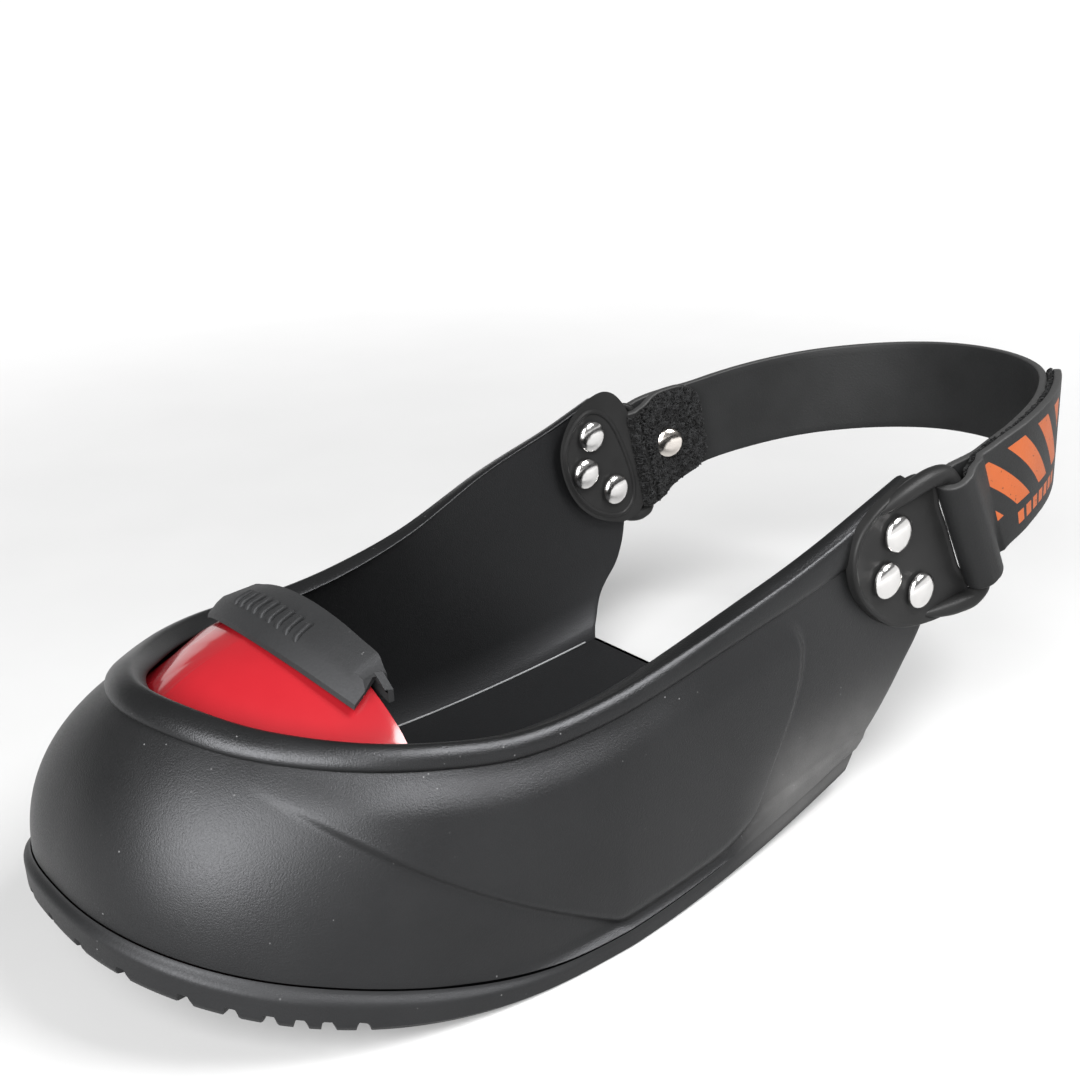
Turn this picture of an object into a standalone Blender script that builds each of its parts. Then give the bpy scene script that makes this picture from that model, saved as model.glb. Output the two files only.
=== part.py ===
"""Visitor overshoe: a rubber toe shoe with a steel cap, open heel and a strap behind the heel.

Sizes are in millimetres, in the shoe's own layout: x runs from the toe tip to the heel, z up from the
floor, and the shoe is symmetric about y = 0 apart from its strap. One empty carries every piece and
puts the origin under the middle of the whole shoe.
"""

import bmesh
import bpy
import numpy as np

MM = 0.001
SEAT = 0.3

# Sole: outline, rocker and bead.
SOLE_LENGTH = 176.4
BALL_X = 97.4
BALL_HALF_WIDTH = 60.0
REAR_HALF_WIDTH = 50.0
TOE_ROUNDNESS = 2.45
REAR_TAPER = 1.27
TOE_SPRING = 22.2
SPRING_END_X = 84.3
TREAD_FLAT_X = 66.0
REAR_RISE = 6.0
BEAD_TOE_HEIGHT = 8.6
BEAD_SIDE_HEIGHT = 4.2
BEAD_REAR_HEIGHT = 5.2
LUGS_PER_SIDE = 13
LUG_SHARE = 0.78
LUG_DEPTH = 1.6
LUG_EDGE_DEPTH = 0.5
LUG_WALL = 0.06
LUG_EDGE_FADE = (45.0, 75.0)
TREAD_SLOPE = (0.04, 0.26)
BEAD_FADE_TOE = (28.0, 88.0)
BEAD_FADE_REAR = (115.0, SOLE_LENGTH)
SPINE_X = 60.0

# Sole section: bead (inset, share of its height), tread (share to the middle, 1 lug or 0 groove), floor.
BEAD_ROWS = ((0.2, 0.0), (0.0, 0.35), (0.0, 0.62), (0.4, 0.85), (1.5, 1.0))
TREAD_ROWS = ((0.20, 1.0), (0.21, 0.0), (0.27, 0.0), (0.28, 1.0), (0.62, 1.0), (0.63, 0.0), (1.0, 0.0))
FLOOR_ROWS = (0.16, 0.45, 1.0)

# Upper: wall, rolled collar, side panel and ears.
WALL = 3.2
FOOT_INSET = 2.0
FOOT_FILLET = 2.6
FOOT_FILLET_RISE = 0.14
COLLAR_OUT = 1.6
CREST_LIFT = 1.1
CREST_DROP = 0.3
CREST_SHARES = (0.65, 0.35)
REAR_FOOT_INSET = 0.5
FOOT_INSET_FADE = (0.6, 1.0)
RIM_BAND = 0.13
RIM_PROUD = 1.7
RIM_FADE_X = (138.0, 166.0)
PANEL_DEPTH = 1.0
PANEL_EDGE = 3.0
PANEL_LINE_START = (26.6, 56.0)
PANEL_LINE_FALL = 0.726
PANEL_LINE_SAG = 3.0
PANEL_LINE_RUN = 67.0
PANEL_REAR_X = 156.5
PANEL_REAR_WIDTH = 27.5
PANEL_MIDDLE_Z = 43.0
PANEL_BELOW = 37.0
PANEL_ABOVE = 20.0
EAR_FACE = 55.6
EAR_FROM_X = (118.0, 168.0)
EAR_FROM_Z = (18.0, 37.0)
WING_FROM = 0.62
WING_FOOT = (177.0, 11.0)
WING_REACH = 26.0
WING_MIDDLE_Z = 56.0
EAR_ROUND = 13.0
EAR_TOP_Z = 80.0
WALL_ROWS = (0.0, 0.04, 0.10, 0.18, 0.27, 0.36, 0.45, 0.54, 0.63, 0.72, 0.80)
RIM_ROWS = (1.0, 0.90, 0.70, 0.45, 0.20, 0.0)
AROUND_LINES = 71

# Collar line: share of the way round from the toe (0) to the ear (1), then its place.
COLLAR_COLUMNS = ("around", "x", "y", "z")
COLLAR = (
    (0.00, 27.5, 0.0, 65.0),
    (0.10, 31.0, 12.5, 63.6),
    (0.20, 38.5, 23.5, 60.6),
    (0.30, 50.0, 34.6, 58.0),
    (0.40, 63.0, 42.0, 55.8),
    (0.50, 80.0, 46.4, 53.3),
    (0.60, 98.0, 48.4, 53.9),
    (0.70, 119.0, 49.8, 57.5),
    (0.80, 143.0, 51.2, 64.3),
    (0.90, 167.0, 52.4, 71.6),
    (1.00, 190.0, 53.0, 79.0),
)

# Wall section: how far the section's control point leans from the foot to the collar.
SECTION_COLUMNS = ("around", "lean_x", "lean_y", "lean_z")
SECTION = (
    (0.00, 0.02, 0.02, 0.65),
    (0.30, 0.02, 0.02, 0.68),
    (0.50, 0.00, 0.00, 0.66),
    (0.70, 0.00, 0.10, 0.60),
    (0.85, 0.00, 0.60, 0.55),
    (1.00, 0.00, 1.60, 0.50),
)

# Toe cap and its edge strip.
CAP_SHEET = 1.8
CAP_CLEARANCE = 1.25
CAP_AROUND = 0.395
CAP_LINES = 29
CAP_CROWN = 69.0
CAP_CROWN_DROP = 8.0
CAP_CROWN_RUN = 32.5
CAP_CROWN_POWER = 1.6
CAP_ARCH_POWER = 2.1
CAP_UNDER_COLLAR = 2.4
CAP_SKIRT_ROWS = (0.03, 0.20, 0.42, 0.64, 0.82, 0.95)
CAP_CROWN_ROWS = (0.20, 0.42, 0.66, 1.0)
CAP_REAR_X = 60.0
CAP_POLE_X = 46.0
CAP_POLE_SHIFT = (0.6, 1.0)
CAP_REAR_BOW = 2.0
CAP_HALF_WIDTH = 42.0
STRIP_HALF_WIDTH = 31.5
STRIP_THICKNESS = 3.0
STRIP_SEAT = 0.55
STRIP_DEPTH = 7.5
STRIP_LIP = 2.4
STRIP_LIP_DROP = 4.5
STRIP_LIP_EXTRA = 4.0
STRIP_BOW = 4.5
STRIP_LINES = 19
STRIP_STEP = 0.2
STRIP_FLANGE = 0.55
STRIP_ROUND = (0.6, 2.0)
STRIP_REAR_ROUND = 1.2

# Strap plates. Both lie in planes of constant y and stand proud towards -y.
PLATE_COLUMNS = ("face_y", "x", "z", "tilt_deg", "front", "half_height", "slot", "bar", "arm")
NEAR_PLATE = (-EAR_FACE, 186.6, 60.4, 27.0, 18.0, 19.5, 13.6, 18.6, -4.0)
FAR_PLATE = (EAR_FACE - WALL, 188.0, 56.4, 22.0, 13.5, 19.5, 9.6, 14.6, 4.6)
PLATES = {
    "strap_plate_near": dict(zip(PLATE_COLUMNS, NEAR_PLATE)),
    "strap_plate_far": dict(zip(PLATE_COLUMNS, FAR_PLATE)),
}
PLATE_AWAY = (0.0, -1.0, 0.0)
PLATE_ROUND_POWER = 2.0 / 2.2
PLATE_ROUND_LINES = 25
PLATE_THICKNESS = 2.5
PLATE_EDGE = 0.9
BAR_RADIUS = 2.1
BAR_HEIGHT = 4.8
BAR_CORNER = 3.6
BAR_SIDES = 8
ARM_HEIGHT = 2.6
ARM_TAPER = 2.5
ARM_TIP = 0.35
ARM_STEPS = (0.0, 0.12, 0.35, 0.65, 1.0)
RIDGE_RADIUS = (1.2, 2.2)
RIDGE_BEFORE_SLOT = 2.7
RIDGE_ENDS = (5.0, 2.5)

# Rivets: x and z of the three rivets of each plate.
RIVET_PLACES = ((182.0, 69.0), (179.0, 58.6), (191.3, 52.0))
RIVET_HEAD = 4.4
RIVET_DOME = 2.3
RIVET_SHANK = 1.8
RIVET_TAIL = 3.4
RIVET_TAIL_HEIGHT = 1.0
RIVET_SIDES = 10
RIVET_RIM = 0.5
RIVET_DOME_ROWS = (0.45, 0.80, 1.0)
RIVET_CUT = 4.0

# Heel strap.
STRAP_WIDTH = 25.6
STRAP_THICKNESS = 2.0
STRAP_LAYERS = 3.2
STRAP_END_ROUND = 6.0
NEAR_FOLD = 66.0
FAR_FOLD = 25.0
STRAP_RIVET_AT = 11.5
FAR_PINCH = (0.0, 6.5)
NEAR_PINCH = (5.0, 20.0)
NEAR_SPRING = 1.2
STRAP_NEAR_OFFSET = -1.6
STRAP_FAR_OFFSET = -1.6
STRAP_STRAIGHT = 6.0
FAR_TURN = (0.0, 0.12)
NEAR_TURN = (0.88, 1.0)
END_STEPS = (0.0, 0.8, 2.4, 4.4)

# Strap route round the heel, inside face: x, y, z.
STRAP_ROUTE = (
    (221.0, 51.5, 62.0),
    (240.0, 46.8, 65.0),
    (257.0, 37.2, 67.7),
    (270.0, 22.5, 70.0),
    (277.3, 3.0, 72.2),
    (275.4, -18.5, 73.9),
    (265.0, -37.5, 74.8),
    (247.0, -50.4, 74.4),
    (227.0, -57.0, 72.2),
)

# Where the origin lies in the layout above.
ORIGIN_X = 139.4
ORIGIN_Y = -2.43

COLOURS = {
    "outsole": ((0.030, 0.030, 0.032), 0.55, 0.0),
    "upper": ((0.034, 0.034, 0.036), 0.45, 0.0),
    "toe_cap": ((0.76, 0.030, 0.040), 0.18, 0.0),
    "toe_cap_edge_strip": ((0.045, 0.045, 0.047), 0.60, 0.0),
    "plate": ((0.026, 0.026, 0.028), 0.35, 0.0),
    "rivet": ((0.80, 0.79, 0.77), 0.15, 1.0),
    "heel_strap": ((0.030, 0.030, 0.033), 0.60, 0.0),
}


def smooth(low, high, value):
    """Ease from 0 at low to 1 at high."""
    share = np.clip((value - low) / (high - low), 0.0, 1.0)
    return share * share * (3.0 - 2.0 * share)


def through(where, knots, values):
    """Smooth curve through the knots of a table column (cubic Hermite)."""
    knots = np.asarray(knots, float)
    values = np.asarray(values, float)
    slope = np.gradient(values, knots)
    cell = np.clip(np.searchsorted(knots, where, side="right") - 1, 0, len(knots) - 2)
    step = knots[cell + 1] - knots[cell]
    t = (where - knots[cell]) / step
    rise = (3.0 - 2.0 * t) * t * t
    return ((1.0 - rise) * values[cell] + rise * values[cell + 1]
            + step * t * (1.0 - t) * ((1.0 - t) * slope[cell] - t * slope[cell + 1]))


def named(table, columns):
    """Table columns by name, as arrays."""
    return dict(zip(columns, np.asarray(table, float).T))


def mirrored(table, name, sign=1.0):
    """Knots and values of a column, continued to the other side of the shoe."""
    knots, values = table["around"], table[name]
    return np.concatenate([-knots[:0:-1], knots]), np.concatenate([sign * values[:0:-1], values])


def unit(vectors):
    """Vectors scaled to length one."""
    return vectors / np.linalg.norm(vectors, axis=-1, keepdims=True)


# Sole shape

def half_outline():
    """Dense half outline: a superellipse toe, then a tapering side. Returns share, x, y, normals."""
    angle = np.linspace(0.0, np.pi / 2, 1501)
    power = 2.0 / TOE_ROUNDNESS
    share = np.linspace(0.0, 1.0, 801)[1:]
    x = np.concatenate([BALL_X * (1.0 - np.cos(angle) ** power), BALL_X + share * (SOLE_LENGTH - BALL_X)])
    narrowing = (BALL_HALF_WIDTH - REAR_HALF_WIDTH) * share ** REAR_TAPER
    y = np.concatenate([BALL_HALF_WIDTH * np.sin(angle) ** power, BALL_HALF_WIDTH - narrowing])
    run = np.concatenate([[0.0], np.cumsum(np.hypot(np.diff(x), np.diff(y)))])
    run /= run[-1]
    along = unit(np.stack([np.gradient(x, run), np.gradient(y, run)], -1))
    along[0] = (0.0, 1.0)
    return run, x, y, -along[:, 1], along[:, 0]


OUTLINE = half_outline()


def outline(around, inset=0.0):
    """Sole outline at a signed share of the way round, moved inwards by the inset."""
    run, x, y, normal_x, normal_y = OUTLINE
    side = np.abs(around)
    px = np.interp(side, run, x) - inset * np.interp(side, run, normal_x)
    py = np.interp(side, run, y) - inset * np.interp(side, run, normal_y)
    return px, py * np.sign(around)


def edge_z(x):
    """Height of the bead's lower edge: toe spring in front, a slight rise at the rear."""
    spring = TOE_SPRING * np.clip(1.0 - x / SPRING_END_X, 0.0, 1.0) ** 2
    rise = REAR_RISE * np.clip((x - BALL_X) / (SOLE_LENGTH - BALL_X), 0.0, 1.0) ** 2
    return spring + rise


def tread_z(x, inwards):
    """Height of the tread: the bead's edge outside, flat on the floor along the middle."""
    middle = TOE_SPRING * np.clip(1.0 - x / TREAD_FLAT_X, 0.0, 1.0) ** 2
    return middle + (edge_z(x) - middle) * (1.0 - smooth(*TREAD_SLOPE, inwards))


def bead_height(x):
    """Height of the bead's side, tall round the toe."""
    toe = (BEAD_TOE_HEIGHT - BEAD_SIDE_HEIGHT) * (1.0 - smooth(*BEAD_FADE_TOE, x))
    rear = (BEAD_REAR_HEIGHT - BEAD_SIDE_HEIGHT) * smooth(*BEAD_FADE_REAR, x)
    return BEAD_SIDE_HEIGHT + toe + rear


def floor_z(x):
    """Height of the sole's top face, which the upper and the cap stand on."""
    return edge_z(x) + bead_height(x)


# Upper shape

def collar(around, out=0.0):
    """Collar line, moved outwards in plan by the given distance."""
    line = named(COLLAR, COLLAR_COLUMNS)

    def place(share):
        return through(share, *mirrored(line, "x")), through(share, *mirrored(line, "y", -1.0))

    step = 1e-3
    x, y = place(around)
    ahead = place(np.clip(around + step, -1.0, 1.0))
    behind = place(np.clip(around - step, -1.0, 1.0))
    run_x = ahead[0] - behind[0]
    run_y = ahead[1] - behind[1]
    length = np.hypot(run_x, run_y)
    z = through(around, *mirrored(line, "z"))
    return x - out * run_y / length, y + out * run_x / length, z


def rear_edge(z):
    """Rear edge of the wing from the side: swept back from the sole, round at the top of the ear."""
    foot_x, foot_z = WING_FOOT
    sweep = np.clip((z - foot_z) / (WING_MIDDLE_Z - foot_z), 0.0, 1.0)
    above = np.clip((z - WING_MIDDLE_Z) / (EAR_TOP_Z - WING_MIDDLE_Z), 0.0, 1.0)
    return foot_x + WING_REACH * np.sin(sweep * np.pi / 2) - EAR_ROUND * (1.0 - np.sqrt(1.0 - above ** 2))


def bent_line(around, up):
    """Wall section from the sole to the collar: a quadratic curve at each share of the way round."""
    side = np.abs(around)
    inset = FOOT_INSET - (FOOT_INSET - REAR_FOOT_INSET) * smooth(*FOOT_INSET_FADE, side)
    foot_x, foot_y = outline(around, inset)
    foot_z = floor_z(foot_x) + SEAT
    top_x, top_y, top_z = collar(around, COLLAR_OUT)
    top_z = top_z - CREST_DROP
    section = named(SECTION, SECTION_COLUMNS)
    lean = [through(side, section["around"], section[name]) for name in SECTION_COLUMNS[1:]]
    weights = ((1.0 - up) ** 2, 2.0 * up * (1.0 - up), up ** 2)
    point = []
    for foot, top, share in zip((foot_x, foot_y, foot_z), (top_x, top_y, top_z), lean):
        control = foot + (top - foot) * share
        point.append(weights[0] * foot + weights[1] * control + weights[2] * top)
    return point


def plain_wall(around, up):
    """Outer wall without its rim and panels: bent lines, swept back to the rear edge and flat at the ears."""
    x, y, z = bent_line(around, up)
    last_x, _, last_z = bent_line(np.ones_like(around), up)
    wing = np.clip((np.abs(around) - WING_FROM) / (1.0 - WING_FROM), 0.0, 1.0)
    x = x + (rear_edge(last_z) - last_x) * wing ** 2
    ear = smooth(*EAR_FROM_X, x) * smooth(*EAR_FROM_Z, z)
    y = y + (np.sign(around) * EAR_FACE - y) * ear
    return np.stack([x, y, z], -1)


def wall_normal(around, up):
    """Outward direction of the plain wall."""
    step = 2e-3
    across = plain_wall(np.clip(around + step, -1, 1), up) - plain_wall(np.clip(around - step, -1, 1), up)
    upward = plain_wall(around, np.clip(up + step, 0, 1)) - plain_wall(around, np.clip(up - step, 0, 1))
    return unit(np.cross(upward, across))


def panel_recess(point):
    """Depth of the recessed side panel: behind a slanting toe line and before a round rear edge."""
    x, z = point[..., 0], point[..., 2]
    start_x, start_z = PANEL_LINE_START
    sag = PANEL_LINE_SAG * np.sin(np.pi * np.clip((x - start_x) / PANEL_LINE_RUN, 0.0, 1.0))
    line = start_z - PANEL_LINE_FALL * (x - start_x) - sag
    behind_toe = smooth(0.0, PANEL_EDGE, z - line)
    tall = np.where(z < PANEL_MIDDLE_Z, PANEL_BELOW, PANEL_ABOVE)
    level = np.sqrt(np.clip(1.0 - ((z - PANEL_MIDDLE_Z) / tall) ** 2, 0.0, 1.0))
    before_rear = smooth(0.0, PANEL_EDGE, PANEL_REAR_X - PANEL_REAR_WIDTH * (1.0 - level) - x)
    return PANEL_DEPTH * behind_toe * before_rear


def rim_bead(point, up):
    """Rolled collar bead: a half round over the top band of the wall, fading out at the ears."""
    share = np.clip((1.0 - up) / RIM_BAND, 0.0, 1.0)
    bead = np.sqrt(np.clip(1.0 - (2.0 * share - 1.0) ** 2, 0.0, 1.0))
    return RIM_PROUD * bead * (1.0 - smooth(*RIM_FADE_X, point[..., 0]))


def outer_wall(around, up):
    """Finished outer wall with its panel and rim."""
    point = plain_wall(around, up)
    below_rim = 1.0 - smooth(1.0 - 1.5 * RIM_BAND, 1.0 - RIM_BAND, up)
    proud = rim_bead(point, up) - panel_recess(point) * below_rim
    return point + proud[..., None] * wall_normal(around, up)


def inner_wall(around, up, extra=0.0):
    """Inner face of the wall, with a fillet where it meets the sole."""
    fillet = FOOT_FILLET * np.clip(1.0 - up / FOOT_FILLET_RISE, 0.0, 1.0) ** 2
    return plain_wall(around, up) - (WALL + extra + fillet)[..., None] * wall_normal(around, up)


# Mesh helpers

def make_object(name, points, faces, parent, smooth_angle=40.0):
    """Object from points in millimetres and faces, with its normals turned outwards."""
    mesh = bpy.data.meshes.new(name)
    bm = bmesh.new()
    vertices = [bm.verts.new(tuple(float(value) * MM for value in point)) for point in points]
    for face in faces:
        corners = []
        for index in face:
            if vertices[index] not in corners:
                corners.append(vertices[index])
        if len(corners) > 2:
            bm.faces.new(corners)
    bmesh.ops.remove_doubles(bm, verts=bm.verts, dist=1e-7)
    bmesh.ops.dissolve_degenerate(bm, edges=bm.edges, dist=1e-7)
    bmesh.ops.recalc_face_normals(bm, faces=bm.faces)
    bm.to_mesh(mesh)
    bm.free()
    mesh.shade_smooth()
    mesh.set_sharp_from_angle(angle=np.radians(smooth_angle))
    item = bpy.data.objects.new(name, mesh)
    item.parent = parent
    bpy.context.scene.collection.objects.link(item)
    return item


def grid_faces(rows, columns, closed_rows=False, start=0):
    """Quads of a grid whose point number is start + row * columns + column."""
    faces = []
    last = rows if closed_rows else rows - 1
    for row in range(last):
        after = (row + 1) % rows
        for col in range(columns - 1):
            faces.append((start + row * columns + col, start + row * columns + col + 1,
                          start + after * columns + col + 1, start + after * columns + col))
    return faces


def paint(item, key):
    """Principled material with the piece's colour, roughness and metallic value."""
    colour, roughness, metallic = COLOURS[key]
    material = bpy.data.materials.get(key) or bpy.data.materials.new(key)
    material.use_nodes = True
    shader = material.node_tree.nodes["Principled BSDF"]
    shader.inputs["Base Color"].default_value = (*colour, 1.0)
    shader.inputs["Roughness"].default_value = roughness
    shader.inputs["Metallic"].default_value = metallic
    item.data.materials.append(material)


def boolean(item, tool, operation):
    """Boolean with a hidden tool object."""
    tool.hide_render = True
    tool.display_type = "WIRE"
    modifier = item.modifiers.new(tool.name, "BOOLEAN")
    modifier.operation = operation
    modifier.solver = "EXACT"
    modifier.object = tool


# Outsole

def lug_lines():
    """Shares of the way round at which lugs start and stop, with the level (1 lug, 0 groove) there."""
    pitch = 1.0 / (LUGS_PER_SIDE + 0.5 * LUG_SHARE)
    shares, levels = [], []
    for lug in range(-LUGS_PER_SIDE, LUGS_PER_SIDE + 1):
        middle = lug * pitch
        reach = 0.5 * LUG_SHARE * pitch
        ramp = LUG_WALL * pitch
        shares += [middle - reach, middle - reach + ramp, middle + reach - ramp, middle + reach]
        levels += [0.0, 1.0, 1.0, 0.0]
    shares = np.clip(shares, -1.0, 1.0)
    return shares, np.asarray(levels)


def outsole(parent):
    """Sole plate: bead round the side, flat floor on top, lugs below in two bands."""
    shares, lug = lug_lines()
    edge_x, edge_y = outline(shares)
    spine_x = np.maximum(edge_x, SPINE_X)
    rows = []
    for inwards, level in reversed(TREAD_ROWS):
        x = edge_x + (spine_x - edge_x) * inwards
        y = edge_y * (1.0 - inwards)
        groove = LUG_DEPTH * (1.0 - lug * level)
        rows.append(np.stack([x, y, tread_z(x, np.full_like(x, inwards)) + groove], -1))
    for inset, share in BEAD_ROWS:
        x, y = outline(shares, inset)
        depth = LUG_EDGE_DEPTH + (LUG_DEPTH - LUG_EDGE_DEPTH) * (1.0 - smooth(*LUG_EDGE_FADE, x))
        groove = depth * (1.0 - lug) if share == 0.0 else 0.0
        rows.append(np.stack([x, y, edge_z(x) + share * bead_height(x) + groove], -1))
    for inwards in FLOOR_ROWS:
        x = edge_x + (spine_x - edge_x) * inwards
        rows.append(np.stack([x, edge_y * (1.0 - inwards), floor_z(x)], -1))
    count = len(rows)
    grid = np.stack(rows, 1)
    lines = len(shares)
    faces = grid_faces(lines, count)
    near_end = list(range(count))
    far_end = [(lines - 1) * count + index for index in range(count)]
    faces.append(tuple(near_end + far_end[::-1]))
    item = make_object("outsole", grid.reshape(-1, 3), faces, parent)
    paint(item, "outsole")
    return item


# Upper

def upper(parent):
    """Hollow wall: a ring of outer face, rolled rim, inner face and foot, carried from ear to ear."""
    around = np.linspace(-1.0, 1.0, AROUND_LINES)
    rises = np.concatenate([WALL_ROWS, 1.0 - RIM_BAND * np.array(RIM_ROWS)])
    outer = [outer_wall(around, np.full_like(around, up)) for up in rises]
    inner = [inner_wall(around, np.full_like(around, up)) for up in rises]
    lift = CREST_LIFT * unit(outer[-1] - outer[-2])
    crest = [share * outer[-1] + (1.0 - share) * inner[-1] + lift for share in CREST_SHARES]
    kept = list(range(0, len(rises), 2))
    kept[-1] = len(rises) - 1
    inside = [inner[index] for index in reversed(kept)]
    ring = np.stack(outer + crest + inside, 0)
    ring[-1, :, 2] = outer[0][:, 2]
    size = len(ring)
    faces = grid_faces(size, AROUND_LINES, closed_rows=True)
    for line in (0, AROUND_LINES - 1):
        spot = [row * AROUND_LINES + line for row in range(size)]
        top = len(rises)
        for step in range(len(kept) - 1):
            low_row, high_row = kept[step], kept[step + 1]
            outside = spot[low_row:high_row + 1]
            faces.append(tuple(outside + [spot[size - 2 - step], spot[size - 1 - step]]))
        faces.append(tuple(spot[top - 1:top + 3]))
    item = make_object("upper", ring.reshape(-1, 3), faces, parent)
    paint(item, "upper")
    return item


# Toe cap

def crown_z(x, y):
    """Top of the cap: a crown line that rises to the rear, arched down to the collar on each side."""
    line = named(COLLAR, COLLAR_COLUMNS)
    half = np.maximum(np.interp(x, line["x"], line["y"]), 1.0)
    edge = np.interp(x, line["x"], line["z"]) - CAP_UNDER_COLLAR
    forward = np.clip((CAP_REAR_X - x) / CAP_CROWN_RUN, 0.0, 1.0)
    crown = CAP_CROWN - CAP_CROWN_DROP * forward ** CAP_CROWN_POWER
    return crown - (crown - edge) * np.clip(np.abs(y) / half, 0.0, 1.0) ** CAP_ARCH_POWER


def cap_lines(depth):
    """Section lines of the cap at a depth under its outer face: up the skirt, then over the crown."""
    around = np.linspace(-CAP_AROUND, CAP_AROUND, CAP_LINES)
    rows = []
    for up in CAP_SKIRT_ROWS:
        level = np.full_like(around, up)
        rows.append(inner_wall(around, level, extra=CAP_CLEARANCE + depth))
    rows[0][:, 2] = floor_z(rows[0][:, 0]) + SEAT
    side_x, side_y, side_z = rows[-1].T
    step = side_z - crown_z(side_x, side_y) + depth
    shift = smooth(*CAP_POLE_SHIFT, np.abs(around) / CAP_AROUND)
    pole_x = CAP_POLE_X + (CAP_REAR_X - CAP_POLE_X) * shift
    for share in CAP_CROWN_ROWS:
        x = side_x + (pole_x - side_x) * share
        y = side_y * (1.0 - share)
        rows.append(np.stack([x, y, crown_z(x, y) - depth + step * (1.0 - share) ** 2], -1))
    return np.stack(rows, 1)


def toe_cap(parent):
    """Pressed steel dome: outer and inner faces of the same lines, joined round the edge."""
    outer = cap_lines(0.0)
    inner = cap_lines(CAP_SHEET)
    lines, count = outer.shape[:2]
    total = lines * count
    faces = grid_faces(lines, count) + grid_faces(lines, count, start=total)
    for line in range(lines - 1):
        first, second = line * count, (line + 1) * count
        faces.append((first, second, total + second, total + first))
    for row in range(count - 1):
        for line in (0, lines - 1):
            first = line * count + row
            faces.append((first, first + 1, total + first + 1, total + first))
    points = np.concatenate([outer.reshape(-1, 3), inner.reshape(-1, 3)])
    item = make_object("toe_cap", points, faces, parent)
    paint(item, "toe_cap")
    return item


def rear_edge_x(y):
    """Rear edge of the cap's crown in plan."""
    return CAP_REAR_X + CAP_REAR_BOW * np.clip(np.abs(y) / CAP_HALF_WIDTH, 0.0, 1.0) ** 2


def toe_cap_edge_strip(parent):
    """Rubber strip over the cap's rear edge: a band on top and a lip hanging behind the sheet."""
    half = STRIP_HALF_WIDTH
    tail = half + STRIP_LIP_EXTRA
    flange = np.array([half + STRIP_STEP, tail])
    across = np.concatenate([-flange[::-1], np.linspace(-half, half, STRIP_LINES), flange])
    on_band = (np.abs(across) < half + 0.5 * STRIP_STEP).astype(float)
    rear = rear_edge_x(across)
    bow = STRIP_BOW * np.clip(1.0 - (across / half) ** 2, 0.0, 1.0)
    front = rear - (STRIP_DEPTH + bow) * on_band
    base = crown_z(rear, across)
    on_front = np.where(on_band > 0, crown_z(front, across), base)
    high = STRIP_THICKNESS * (STRIP_FLANGE + (1.0 - STRIP_FLANGE) * on_band)
    back = rear + 2.0 * SEAT
    profile = (
        (front, on_front + STRIP_SEAT),
        (front + STRIP_ROUND[0] * on_band, on_front + STRIP_SEAT + 0.75 * high),
        (front + STRIP_ROUND[1] * on_band, on_front + STRIP_SEAT + high),
        (back + STRIP_LIP - STRIP_REAR_ROUND, base + STRIP_SEAT + high),
        (back + STRIP_LIP, base + STRIP_SEAT + 0.6 * high),
        (back + STRIP_LIP, base - STRIP_LIP_DROP),
        (back, base - STRIP_LIP_DROP),
        (back, base + STRIP_SEAT),
    )
    ring = np.stack([np.stack([x, across, z], -1) for x, z in profile], 0)
    size, lines = len(profile), len(across)
    faces = grid_faces(size, lines, closed_rows=True)
    for line in (0, lines - 1):
        faces.append(tuple(row * lines + line for row in range(size)))
    item = make_object("toe_cap_edge_strip", ring.reshape(-1, 3), faces, parent)
    paint(item, "toe_cap_edge_strip")
    return item


# Strap plates

def plate_frame(name):
    """Origin and directions of a plate: along the strap, across it, and away from the wing."""
    plate = PLATES[name]
    angle = np.radians(plate["tilt_deg"])
    along = np.array([np.cos(angle), 0.0, np.sin(angle)])
    across = np.array([-np.sin(angle), 0.0, np.cos(angle)])
    return np.array([plate["x"], plate["face_y"], plate["z"]]), along, across, np.array(PLATE_AWAY)


def on_plate(name, along_by, across_by, away_by):
    """Layout points from plate sizes."""
    origin, along, across, away = plate_frame(name)
    parts = [np.asarray(value, float)[..., None] for value in (along_by, across_by, away_by)]
    return origin + parts[0] * along + parts[1] * across + parts[2] * away


def tube(name, centre, radius, sides, parent):
    """Round bar along a line of points, with shrunken ends."""
    along = unit(np.gradient(centre, axis=0))
    side = unit(np.cross(along, np.array([0.0, 1.0, 0.0])))
    out = np.cross(side, along)
    turn = np.linspace(0.0, 2.0 * np.pi, sides, endpoint=False)
    ring = (centre[None] + radius[None, :, None]
            * (np.cos(turn)[:, None, None] * side[None] + np.sin(turn)[:, None, None] * out[None]))
    lines = len(centre)
    faces = grid_faces(sides, lines, closed_rows=True)
    for line in (0, lines - 1):
        faces.append(tuple(row * lines + line for row in range(sides)))
    return make_object(name, ring.reshape(-1, 3), faces, parent)


def loop_bar(name, parent):
    """The plate's two arms and the bar between them, as one round bar bent to a U."""
    half, slot, bar, start = (PLATES[name][key] for key in ("half_height", "slot", "bar", "arm"))
    arm = half - BAR_RADIUS + 0.2
    corner = np.linspace(0.0, np.pi / 2, 5)
    run = start + (slot - 1.0 - start) * np.array(ARM_STEPS)
    bend_along = bar - BAR_CORNER + BAR_CORNER * np.sin(corner)
    bend_across = arm - BAR_CORNER + BAR_CORNER * np.cos(corner)
    along = np.concatenate([run, bend_along])
    across = np.concatenate([np.full_like(run, arm), bend_across])
    along = np.concatenate([along, along[::-1]])
    across = np.concatenate([across, -across[::-1]])
    away = ARM_HEIGHT + (BAR_HEIGHT - ARM_HEIGHT) * smooth(start, slot, along)
    radius = BAR_RADIUS * (ARM_TIP + (1.0 - ARM_TIP) * smooth(start, start + ARM_TAPER, along))
    return tube(name + "_loop", on_plate(name, along, across, away), radius, BAR_SIDES, parent)


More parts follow.
